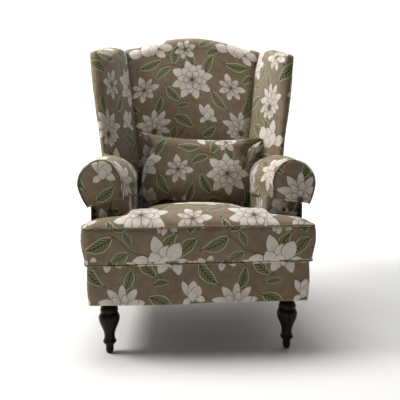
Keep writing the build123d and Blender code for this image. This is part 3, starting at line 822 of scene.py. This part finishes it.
def wing_half(side, inner):
    """Grid of the inner or the outer face, rows from the front edge to the rear."""
    rows, printed = [], []
    steps_d, steps_z = 54, 104
    rear_d, low = 735, 560.0
    u0, v0 = WING_PRINT[side]
    for i in range(steps_d + 1):
        t = (i / steps_d) ** 1.6
        round_over = lerp(44.0, 10.0, smooth(2.2 * t)) if inner else 15.0
        swell = 5 * math.sin(math.pi * min(1, t * 1.2)) if inner else 0.0
        top = wing_top_z(max(lerp(336, rear_d, t), 345))
        row, line, aways = [], [], []
        for j in range(steps_z + 1):
            z = lerp(low, top, 1 - (1 - j / steps_z) ** 1.25)
            nose = wing_nose_d(z)
            d = lerp(nose, min(rear_d, back_outside(z) - 5), t)
            x_in, x_out = wing_inner_x(z, d, side), wing_outer_x(z, d)
            half = (x_out - x_in) / 2
            front = rounded_in(d - nose, 34)
            split = 0.25 * half
            middle = (x_in + x_out) / 2 + split * front
            reach = (-half - split if inner else half - split) * front - swell
            x = middle + reach * rounded_in(top - z, round_over)
            row.append(place(x * side, d, z))
            line.append((x, z))
            aways.append((d - nose) + 12 * front)
        turned = side if inner else -side
        rows.append(row)
        printed.append([(turned * away * MM + u0, (low + run) * MM + v0)
                        for away, run in zip(aways, lengths(line))])
    return rows, printed


def pleat(rows, side, height):
    """Folds of gathered cloth that fan out over a wing's inner face from the crest."""
    made = []
    for row in rows:
        new = []
        for p in row:
            z, d = p.z / MM, depth_of(p)
            ahead, below = 500 - d, 1052 - z
            away, angle = math.hypot(ahead, below), math.atan2(below, ahead)
            fade = smooth(away / 40) * smooth((210 - away) / 130) * smooth((1.3 - angle) / 0.5)
            fold = (abs(math.sin(angle * 11.0 + 0.4 * side)) ** 0.6 - 0.65) * height * fade
            core = place(0.5 * (wing_inner_x(z, d, side) + wing_outer_x(z, d)) * side,
                         wing_nose_d(z) + 50, z)
            out = Vector((p.x - core.x, p.y - core.y, 0.0))
            new.append(p + out.normalized() * fold * MM if out.length > 1e-6 else p)
        made.append(new)
    return made


def wing(side, name):
    bm = bmesh.new()
    rear = []
    for inner in (True, False):
        rows, printed = wing_half(side, inner)
        rows = uneven(rows, 5.0 + side, 2.4, 0.10)
        if inner:
            rows = pleat(rows, side, 10.0 if side < 0 else 5.0)
        grid(bm, rows, printed)
        rear.append(rows[-1])
    closing = [[a.lerp(b, k / 6) for a, b in zip(*rear)] for k in range(7)]
    grid(bm, closing, [[(p.x, p.z) for p in row] for row in closing])
    piece = finish_mesh(f"{name}_wing_upholstery", bm, merge=0.0006)
    dress(piece, replaces=(f"{name}_wing_cover", f"{name}_wing_pad"))


# ---- arms ---------------------------------------------------------------------------
HEM_OUT = {1: (366, 472), -1: (353, 465)}      # outer hems of the arm caps, x and z


def roll_outline(full, side, grow=0.0, count=40):
    """Front outline of an arm's roll, from its inner hem over the top to the outer one."""
    inner = lerp(243, 211, full) - grow
    outer = ARM_OUTER + grow
    top = lerp(ARM_TOP_Z - 14, ARM_TOP_Z, full) + grow
    middle_x, middle_z = 309, 538
    low_in, (hem_x, low_out) = 491, HEM_OUT[side]
    points = []
    for i in range(9):
        points.append((inner + 1.5 * math.sin(math.pi * i / 8), lerp(low_in, middle_z, i / 8)))
    for i in range(1, count):
        turn = math.pi * (1 - i / count)
        half = middle_x - inner if turn > math.pi / 2 else outer - middle_x
        points.append((middle_x + half * math.cos(turn),
                       middle_z + (top - middle_z) * math.sin(turn)))
    for i in range(9):
        t = i / 8
        points.append((lerp(outer, hem_x, t ** 1.6), lerp(middle_z, low_out, t)))
    return points


def arm_full(d):
    return smooth((d - CAP_FRONT_D) / (250 - CAP_FRONT_D)) if d < 250 else 1.0


CAP_PRINT = {1: (-0.137, 0.250), -1: (0.008, 0.212)}    # the print on the caps' faces


def cap_face(bm, side, front):
    """The cap's front face, stretched between the two halves of its outline."""
    outline = roll_outline(0.0, side, -3.0)
    half_count, steps = len(outline) // 2, 34
    halves = outline[:half_count + 1], list(reversed(outline[half_count:]))
    lines = [resample([Vector(p) for p in half], steps, False) for half in halves]
    u0, v0 = CAP_PRINT[side]
    rows, printed = [], []
    for i, (a, b) in enumerate(zip(*lines)):
        row, marks = [], []
        for j in range(19):
            t = j / 18
            p = a.lerp(b, t)
            bulge = 7 * (1 - abs(2 * t - 1) ** 3) * rounded_in(steps - i, 9)
            hem = 2.5 * math.sin(9 * t + side) * smooth(1 - i / 5)
            row.append(place(p.x * side, front - bulge, p.y + hem))
            marks.append((p.x * side * MM + u0, p.y * MM + v0))
        rows.append(row)
        printed.append(marks)
    grid(bm, uneven(rows, 12 + side, 1.2, 0.05), printed)


def cap_band(bm, side, front):
    """The cap's band over the roll, with hems that stand off and wave a little."""
    rows, printed = [], []
    for d in [front, front + 2, front + 6, front + 14] + [
            lerp(front + 24, CAP_REAR_D, i / 26) for i in range(27)]:
        wave = 1.6 * math.sin(d / 17.0)
        line = roll_outline(arm_full(d), side, 0.0 if d > front + 1 else -3.0)
        for index, (x, z) in enumerate(line):
            rim = min(index, len(line) - 1 - index)
            flare = 2.2 * smooth(1 - rim / 6) * (1 + 0.5 * math.sin(d / 11))
            outward = -1 if index < len(line) / 2 else 1
            line[index] = (x + outward * flare, z + wave * smooth(1 - rim / 9) * 0.8)
        rows.append([place(x * side, d, z) for x, z in line])
        printed.append([(side * run * MM + 0.10 * side, d * MM + 0.62)
                        for run in lengths(line)])
    grid(bm, uneven(rows, 15 + side, 2.0, 0.06), printed)


def arm_cap(side, name):
    """The fitted cap: a front face with a piped edge and a band over the roll."""
    bm = bmesh.new()
    front = CAP_FRONT_D + 3
    cap_face(bm, side, front)
    cap_band(bm, side, front)
    piece = finish_mesh(f"{name}_arm_cap_cloth", bm, merge=0.0008, thickness=0.0022)
    dress(piece, replaces=(f"{name}_arm_cap",))
    rim = [place(x * side, front - 0.5, z) for x, z in roll_outline(0.0, side, -1.6)]
    cord_along(f"{name}_arm_cap_piping", rim, 2.7)


def arm_roll(side, name):
    """The arm's own roll, seen behind the cap and under its hem, closed at its rear."""
    bm = bmesh.new()
    rows, printed = [], []
    wing_d, wing_x = 640, 292       # from here on the wing takes the roll's inner side
    for i in range(61):
        d = lerp(CAP_FRONT_D + 12, ROLL_REAR_D - 2, i / 60)
        outline = roll_outline(arm_full(d), side, -5.5)
        rows.append([place((max(x, wing_x) if d > wing_d else x) * side, d, z)
                     for x, z in outline])
        printed.append([(side * run * MM + 0.12, d * MM + 0.2) for run in lengths(outline)])
    rows = uneven(rows, 22 + side, 1.6, 0.09)
    grid(bm, rows, printed)
    half_count = len(rows[-1]) // 2
    facing = list(zip(rows[-1][:half_count + 1], reversed(rows[-1][half_count:])))
    closing = [[a.lerp(b, k / 8) for k in range(9)] for a, b in facing]
    grid(bm, closing, [[(p.x, p.z) for p in row] for row in closing])
    under = [[row[0].lerp(row[-1], k / 4) for row in rows] for k in range(5)]
    grid(bm, under, [[(p.x, p.y) for p in line] for line in under])
    piece = finish_mesh(f"{name}_arm_roll_upholstery", bm, merge=0.0008)
    dress(piece, replaces=(f"{name}_arm_roll_cover", f"{name}_arm_roll_pad"))


# (x, depth) of the inner face of the arm, from the front panel round the corner
INSIDE_ARM = [(281, 121), (276, 117.6), (262, 116.8), (246, 116.8), (234, 117.4), (227, 120.5),
              (224, 127), (223, 140), (222, 180), (221, 230), (219, 280), (217, 330),
              (216.5, 400), (216.5, 460), (216.5, 520), (216.5, 600)]


def inside_arm(side, name):
    """Inner face of the arm and the strip that it turns round the front."""
    bm = bmesh.new()
    runs = lengths(INSIDE_ARM)
    levels = 22
    heights = [lerp(DECK_Z - 10, ARM_BODY_TOP + 28, i / levels) for i in range(levels + 1)]
    rows = [[place((x + 0.3) * side, d, z) for x, d in INSIDE_ARM] for z in heights]
    grid(bm, rows, [[(side * (0.05 + run * MM), z * MM + 0.33) for run in runs]
                    for z in heights])
    piece = finish_mesh(f"{name}_inside_arm_upholstery", bm)
    subdivide(piece)
    dress(piece, replaces=(f"{name}_inside_arm_cover", f"{name}_inside_arm_pad"))


def arm_front_panels():
    """The recessed nailed panels under the arm caps."""
    bm = bmesh.new()
    for side in (1, -1):
        def at(rise, across):
            x, z = lerp(280.5, 341, across), lerp(DECK_Z - 10, ARM_BODY_TOP + 26, rise)
            d = 123.4 + 3.4 * abs(2 * across - 1) ** 6
            return place(x * side, d, z), (x * side * MM + 0.1, z * MM + 0.52)

        grid(bm, *sweep(14, 8, at))
    piece = finish_mesh("arm_front_panel_cloth", bm, thickness=0.003)
    dress(piece, replaces=("arm_front_panels",))


def outside_arm(side, name):
    def at(rise, back):
        z = lerp(HEM_Z, ARM_BODY_TOP + 2, rise)
        d = lerp(114, back_outside(z) - 4, back)
        x = side_x(d) + 0.6 + 1.5 * math.sin(math.pi * back)
        return place(x * side, d, z), (-side * (d * MM), z * MM + 0.08)

    bm = bmesh.new()
    rows, printed = sweep(24, 40, at)
    grid(bm, uneven(rows, 31 + side, 1.5, 0.15), printed)
    piece = finish_mesh(f"{name}_outside_arm_upholstery", bm, thickness=0.0035)
    dress(piece, replaces=(f"{name}_outside_arm_panel",))


# ---- base ---------------------------------------------------------------------------
def base_band():
    """Front of the base with rounded corners, hemmed below."""
    bm = bmesh.new()
    plan = [(side_x(113), 113), (side_x(80), 80), (side_x(50), 50)]
    turn_r = 15.0
    corner = side_x(24)
    for k in range(9):
        a = math.pi / 2 * k / 8
        plan.append((corner - turn_r + turn_r * math.cos(a), 24 + turn_r - turn_r * math.sin(a)))
    for k in range(1, 40):
        plan.append((lerp(corner - turn_r, 0, k / 40), 24))
    full = plan + [(0, 24)] + [(-x, d) for x, d in reversed(plan)]
    full = [(-x, d) for x, d in full]
    runs = lengths(full)
    middle = runs[len(runs) // 2]
    rows, printed = [], []
    levels = 20
    for i in range(levels + 1):
        t = i / levels
        z = lerp(HEM_Z, DECK_Z - 1, t)
        belly = 2.5 * math.sin(math.pi * t) - 1.5 * (1 - t) ** 6
        row = []
        for x, d in full:
            push = belly + 0.8 * math.sin(x / 37.0) * math.sin(math.pi * t)
            wave = 1.2 * math.sin(x / 58.0 + 0.7) * (1 - t) ** 2
            wave += 7.0 * smooth((x + 120) / 450) * (1 - t) ** 3     # higher at the right
            row.append(place(x * (1 + push / 380), d - push, z + wave))
        rows.append(row)
        printed.append([((run - middle) * MM + 0.083, z * MM + 0.594) for run in runs])
    grid(bm, rows, printed)
    turned_in = [place(p.x / MM * 0.985, depth_of(p) + 5, HEM_Z + 2) for p in rows[0]]
    grid(bm, [rows[0], turned_in], [printed[0], printed[0]])
    piece = finish_mesh("base_front_upholstery", bm)
    dress(piece, replaces=("base_front_cover",))


# ---- loose cushions -----------------------------------------------------------------
def rounded(points, radii, steps=6):
    """Closed plan line with its corners rounded."""
    made = []
    count = len(points)
    for i, (point, radius) in enumerate(zip(points, radii)):
        here = Vector(point)
        before = Vector(points[i - 1]) - here
        after = Vector(points[(i + 1) % count]) - here
        radius = min(radius, before.length * 0.45, after.length * 0.45)
        a, b = here + before.normalized() * radius, here + after.normalized() * radius
        for k in range(steps + 1):
            t = k / steps
            made.append(a.lerp(here, t).lerp(here.lerp(b, t), t))
    return made


def cushion_plan(shrink):
    """Outline of the T-shaped cushion, with its corners rounded."""
    half = [(CUSHION_HALF - shrink, shrink, 20), (CUSHION_HALF - shrink, EAR_D - shrink, 16),
            (NECK_HALF - shrink, EAR_D - shrink, 10), (REAR_HALF - shrink, 330, 60),
            (REAR_HALF - shrink, CUSHION_REAR_D - shrink, 24)]
    ring = half + [(-x, d, r) for x, d, r in reversed(half)]
    return rounded([(x, d) for x, d, _ in ring], [r for _, _, r in ring])


def closed_prism(plan, z0, z1):
    bm = bmesh.new()
    low = [bm.verts.new(place(p.x, p.y, z0)) for p in plan]
    high = [bm.verts.new(place(p.x, p.y, z1)) for p in plan]
    count = len(plan)
    bm.faces.new(low)
    bm.faces.new(high)
    for i in range(count):
        bm.faces.new((low[i], low[(i + 1) % count], high[(i + 1) % count], high[i]))
    bmesh.ops.recalc_face_normals(bm, faces=bm.faces)
    mesh = bpy.data.meshes.new("blank")
    bm.to_mesh(mesh)
    bm.free()
    return mesh


def blow_up(piece, voxel, cap, pins=None, stiffness=40.0):
    """Remeshes a closed blank and inflates it as sewn cloth; cap limits each point, in mm."""
    pressure, frames = 4.0, 20
    remesh = piece.modifiers.new("Remesh", "REMESH")
    remesh.mode = "VOXEL"
    remesh.voxel_size = voxel
    bake(piece)
    while piece.data.uv_layers:
        piece.data.uv_layers.remove(piece.data.uv_layers[0])
    start = [v.co.copy() for v in piece.data.vertices]
    if pins:
        group = piece.vertex_groups.new(name="held")
        for vertex in piece.data.vertices:
            weight = pins(vertex.co)
            if weight > 0:
                group.add([vertex.index], weight, "REPLACE")
    cloth = piece.modifiers.new("Cloth", "CLOTH")
    cloth.settings.quality = 5
    cloth.settings.mass = 0.3
    cloth.settings.use_pressure = True
    cloth.settings.uniform_pressure_force = pressure
    cloth.settings.tension_stiffness = stiffness
    cloth.settings.compression_stiffness = stiffness
    cloth.settings.shear_stiffness = stiffness / 2
    cloth.settings.bending_stiffness = 0.6
    cloth.settings.effector_weights.gravity = 0
    if pins:
        cloth.settings.vertex_group_mass = "held"
    scene = bpy.context.scene
    for number in range(1, frames + 1):
        scene.frame_set(number)
    bake(piece)
    scene.frame_set(1)
    for vertex, home in zip(piece.data.vertices, start):
        move = vertex.co - home
        if move.length > cap * MM:
            vertex.co = home + move.normalized() * cap * MM
    piece.vertex_groups.clear()


def bake(piece):
    """Applies every modifier of a piece to its mesh."""
    graph = bpy.context.evaluated_depsgraph_get()
    mesh = bpy.data.meshes.new_from_object(piece.evaluated_get(graph))
    piece.modifiers.clear()
    old = piece.data
    piece.data = mesh
    if old.users == 0:
        bpy.data.meshes.remove(old)


def smooth_mesh(piece, times):
    fair = piece.modifiers.new("Smooth", "SMOOTH")
    fair.factor = 0.5
    fair.iterations = times
    bake(piece)


PANEL_PRINT, BOXING_PRINT = (0.180, 0.888), (-0.052, 0.777)


def print_cushion(piece):
    """Cloth coordinates of the seat cushion: a boxing strip, and two flat panels."""
    seam_low, seam_high = CUSHION_Z[0] * MM + 0.008, (CUSHION_Z[1] - 4) * MM
    corner = 0.36        # metres from the middle of the boxing's front to its corner

    def cloth_at(p, polygon):
        depth = p.y - FRONT_Y
        if not seam_low <= polygon.center.z <= seam_high:
            return p.x + PANEL_PRINT[0], depth * 1.03 + PANEL_PRINT[1]
        facing_front = abs(polygon.normal.y) > abs(polygon.normal.x)
        across = p.x if facing_front else math.copysign(corner + depth, p.x)
        return across + BOXING_PRINT[0], p.z + BOXING_PRINT[1]

    print_mesh(piece.data, cloth_at)


def front_sag(x, d, z):
    """How much lower the cushion hangs at its front, more on the left and at its foot."""
    foot = 1 - smooth((z - CUSHION_Z[0]) / (CUSHION_Z[1] - CUSHION_Z[0]))
    return (0.0085 * x - 3.0 * foot) * smooth((30 - d) / 22)


def fade(distance, length):
    """From 0 at an edge towards 1 well away from it."""
    return 1 - math.exp(-max(distance, 0) / length)


def crown_height(x, depth):
    """How high the filled cushion stands over its upper seam; it falls to every edge."""
    in_ears = depth < EAR_D
    half = CUSHION_HALF if in_ears else lerp(NECK_HALF, REAR_HALF, smooth((depth - EAR_D) / 220))
    height = CROWN_PEAK * fade(half - x, 42) * fade(depth, 52) * fade(CUSHION_REAR_D - depth, 90)
    if in_ears:
        height *= fade(400 if x < NECK_HALF else EAR_D - depth, 30)
    return height * (1 - 0.30 * smooth((depth - 220) / 200))


def seat_cushion():
    blank = closed_prism(cushion_plan(3), CUSHION_Z[0] - 4, CUSHION_Z[1] - 2)
    piece = new_object("seat_cushion_cover", blank)
    low, seam = CUSHION_Z[0] * MM, CUSHION_Z[1] * MM
    low_seam, high_seam = low + 0.006, seam - 0.003

    def held(co):
        """The underside rests on the platform, and the seams keep their line."""
        on_rim = min(abs(co.z - low_seam), abs(co.z - high_seam)) < 0.005
        return 0.85 if co.z < low_seam + 0.003 else (0.35 if on_rim else 0.0)

    blow_up(piece, 0.007, 12.0, held)
    lid = seam - 0.012       # metres; the crown lifts what is above this
    for vertex in piece.data.vertices:
        co = vertex.co
        if co.z > lid:
            crown = crown_height(abs(co.x) / MM, depth_of(co))
            co.z += crown * smooth((co.z - lid) / 0.008) * MM
    smooth_mesh(piece, 6)
    for vertex in piece.data.vertices:
        co = vertex.co
        co.z = max(co.z, low + 0.0006 if depth_of(co) > 40 else low - 0.009)
        co.y = max(co.y, FRONT_Y - 0.006)
        ear = smooth((abs(co.x) / MM - 250) / 100) * smooth((EAR_D - depth_of(co)) / 12 + 1)
        co.x *= 1 + ear * lerp(0.0, EAR_SPREAD, smooth((co.z - low) / 0.07))
        if co.z > low + 0.01:
            co += vertex.normal * ripple(co, 41.0, 0.11, 2.0) * MM
        co.z += front_sag(co.x / MM, depth_of(co), co.z / MM) * MM
    subdivide(piece)
    bake(piece)
    print_cushion(piece)
    dress(piece, "seat_cushion", replaces=(
        "seat_cushion_boxing", "seat_cushion_top_panel", "seat_cushion_bottom_panel",
        "seat_cushion_foam"))
    for name, z, seed in (("upper", CUSHION_Z[1] + 1, 1.0), ("lower", CUSHION_Z[0] - 1, 2.0)):
        ring = resample(cushion_plan(1.5), 150)
        spread = 1 + (EAR_SPREAD if z > CUSHION_Z[1] else 0.0)
        points = [place(p.x * (spread if p.y < EAR_D + 5 and abs(p.x) > 240 else 1.0), p.y,
                        z + 1.6 * math.sin(p.x / 60 + seed) + front_sag(p.x, p.y, z))
                  for p in ring]
        points = surface_line(piece, points, 1.2)
        cord_along(f"seat_cushion_{name}_piping", points, 2.9, True, "seat_cushion")


def surface_line(piece, points, out):
    """The nearest points of a piece's surface, moved out a little, in millimetres."""
    graph = bpy.context.evaluated_depsgraph_get()
    graph.update()
    made = []
    for point in points:
        found, place_on, normal, _ = piece.closest_point_on_mesh(point, depsgraph=graph)
        made.append(place_on + normal * out * MM if found else point)
    return made


# The pillow lies against the back, turned a little to the left and leaning.
PILLOW_TILT, PILLOW_YAW = math.radians(18), math.radians(7)
PILLOW_CORNERS = [(-244, 140), (258, 120), (210, 8), (190, -168), (-226, -162), (-238, 0)]
PILLOW_PRINT = (-0.123, 0.977, 0.16)     # place of the print, and its turn
PILLOW_BLANK = 36.0      # half thickness of the pillow before it is filled


def pillow_frame():
    across = Vector((math.cos(PILLOW_YAW), -math.sin(PILLOW_YAW), 0))
    up = Vector((math.sin(PILLOW_TILT) * math.sin(PILLOW_YAW),
                 math.sin(PILLOW_TILT) * math.cos(PILLOW_YAW), math.cos(PILLOW_TILT)))
    return place(30, 436, 601), across, up, across.cross(up)


def pillow_outline():
    """Seam of the pillow; its long sides bow in between the dog-ear corners."""
    corners = [Vector(c) for c in PILLOW_CORNERS]
    outline = []
    for i, a in enumerate(corners):
        b = corners[(i + 1) % len(corners)]
        middle = (a + b) / 2
        inward = -middle.normalized() * (16 if middle.y > 50 else -8 if middle.y < -50 else 0)
        for k in range(12):
            t = k / 12
            bow = 4 * t * (1 - t)
            outline.append(a.lerp(b, t) + inward * bow)
    outline = resample(outline, 96)
    return outline + outline[:1]


def print_pillow(piece, origin, across, up, out):
    u0, v0, turn = PILLOW_PRINT

    def cloth_at(p, polygon):
        q = p - origin
        face_side = 1 if polygon.normal.dot(out) > 0 else -1
        along, rise = q.dot(across) * 1.05 * face_side, q.dot(up) * 1.05
        return (along * math.cos(turn) - rise * math.sin(turn) + u0,
                along * math.sin(turn) + rise * math.cos(turn) + v0)

    print_mesh(piece.data, cloth_at)


def pillow():
    """Knife-edge lumbar pillow: two printed faces sewn at a seam, with dog-ear corners."""
    origin, across, up, out = pillow_frame()
    outline, centre, rings = pillow_outline(), Vector((0, 5)), 16
    bm = bmesh.new()
    for face_side in (1, -1):
        rows = []
        for k in range(rings + 1):
            t = k / rings
            height = PILLOW_BLANK * (1 - t ** 3.0) ** 0.7 + 2.5
            inset = [centre.lerp(p, t) for p in outline]
            rows.append([origin + (across * q.x + up * q.y + out * face_side * height) * MM
                         for q in inset])
        rows.append([origin + (across * p.x + up * p.y) * MM * 1.004 for p in outline])
        grid(bm, rows, [[(0, 0)] * len(row) for row in rows])
    piece = finish_mesh("lumbar_pillow_cover", bm, merge=0.0006)
    blow_up(piece, 0.0055, 24.0, stiffness=30.0)
    smooth_mesh(piece, 3)
    subdivide(piece)
    bake(piece)
    print_pillow(piece, origin, across, up, out)
    dress(piece, "lumbar_pillow",
          replaces=("pillow_filling", "pillow_front_cover", "pillow_rear_cover"))


# ---- carried-over CAD pieces --------------------------------------------------------
def finish_cad_nodes():
    """Every CAD node that stays gets the detailed material of its slot."""
    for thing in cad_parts.values():
        if thing.hide_render:
            continue
        for slot_item in thing.material_slots:
            name = slot_item.material.name.split(".")[0] if slot_item.material else ""
            match = next((key for key in MATERIALS if name.endswith(key)), None)
            if match:
                slot_item.material = MATERIALS[match]


# ---- studio -------------------------------------------------------------------------
# (name, place, what it aims at, size in metres, watts, colour)
LAMPS = [
    ("key", (-2.1, -0.12, 2.4), (0, 0, 0.8), 1.2, 80, (1.0, 0.98, 0.94)),
    ("fill", (-1.0, -2.7, 0.3), (0, 0, 0.35), 1.4, 6.5, (1.0, 0.98, 0.95)),
    ("top", (-0.2, 0.2, 3.0), (0, 0, 0.5), 1.6, 66, (1.0, 0.99, 0.97)),
]
LENS = 43.17
CAMERA_AT = (-0.11024, FRONT_Y - 1.44272, 0.63165)
CAMERA_DOWN, CAMERA_TURN = 5.361, 4.263      # degrees


class WorldNodes(Nodes):
    def __init__(self, name):
        self.world = bpy.data.worlds.new(name)
        self.world.use_nodes = True
        self.tree = self.world.node_tree


def surroundings():
    """Light from all round, brighter from behind the chair and from the left."""
    n = WorldNodes("studio")
    x, y, _ = n.split(n.new("ShaderNodeTexCoord").outputs["Generated"])
    behind, left = n.step(y, -0.3, 0.95, (0.075, 1.4)), n.madd(x, -0.28, 0.88)
    background = n.tree.nodes["Background"]
    n.plug(background.inputs["Color"], (1.0, 0.985, 0.95, 1))
    n.plug(background.inputs["Strength"], n.mul(behind, left))
    bpy.context.scene.world = n.world


def studio():
    """Plain pale floor, whose far part glows as painted light, and soft light."""
    bm = bmesh.new()
    bmesh.ops.create_grid(bm, x_segments=2, y_segments=2, size=9)
    mesh = bpy.data.meshes.new("floor")
    bm.to_mesh(mesh)
    bm.free()
    floor = new_object("floor", mesh)
    n = Nodes("pale_floor")
    tone = n.noise(n.object_point(), 1.5, 2.0, 0.5)
    color = n.mix(tone, (0.72, 0.72, 0.72, 1), (0.76, 0.76, 0.76, 1))
    # painted light: the floor glows more and more towards the back, so that it runs into the
    # bright backdrop
    painted_glow = n.step(n.split(n.object_point())[1], 0.5, 2.2, (0.0, 0.95))
    mesh.materials.append(n.shader(color, 0.7, Specular_IOR_Level=0.2,
                                   Emission_Color=(1, 1, 1, 1), Emission_Strength=painted_glow))
    for name, spot, goal, size, power, tint in LAMPS:
        light = bpy.data.lights.new(name, "AREA")
        light.shape = "DISK"
        light.size, light.energy, light.color = size, power, tint
        lamp = new_object(name, light)
        lamp.location = spot
        aim = Vector(goal) - Vector(spot)
        lamp.rotation_euler = aim.to_track_quat("-Z", "Y").to_euler()
    surroundings()


def camera():
    data = bpy.data.cameras.new("camera")
    data.lens, data.sensor_width = LENS, 36.0
    item = new_object("camera", data)
    item.location = CAMERA_AT
    item.rotation_euler = (math.radians(90 - CAMERA_DOWN), 0, math.radians(-CAMERA_TURN))
    bpy.context.scene.camera = item


bpy.context.scene.view_settings.view_transform = "Standard"
camera()
studio()
inside_back()
outside_back()
for side, name in ((1, "right"), (-1, "left")):
    wing(side, name)
    arm_cap(side, name)
    arm_roll(side, name)
    inside_arm(side, name)
    outside_arm(side, name)
arm_front_panels()
base_band()
seat_cushion()
pillow()
finish_cad_nodes()
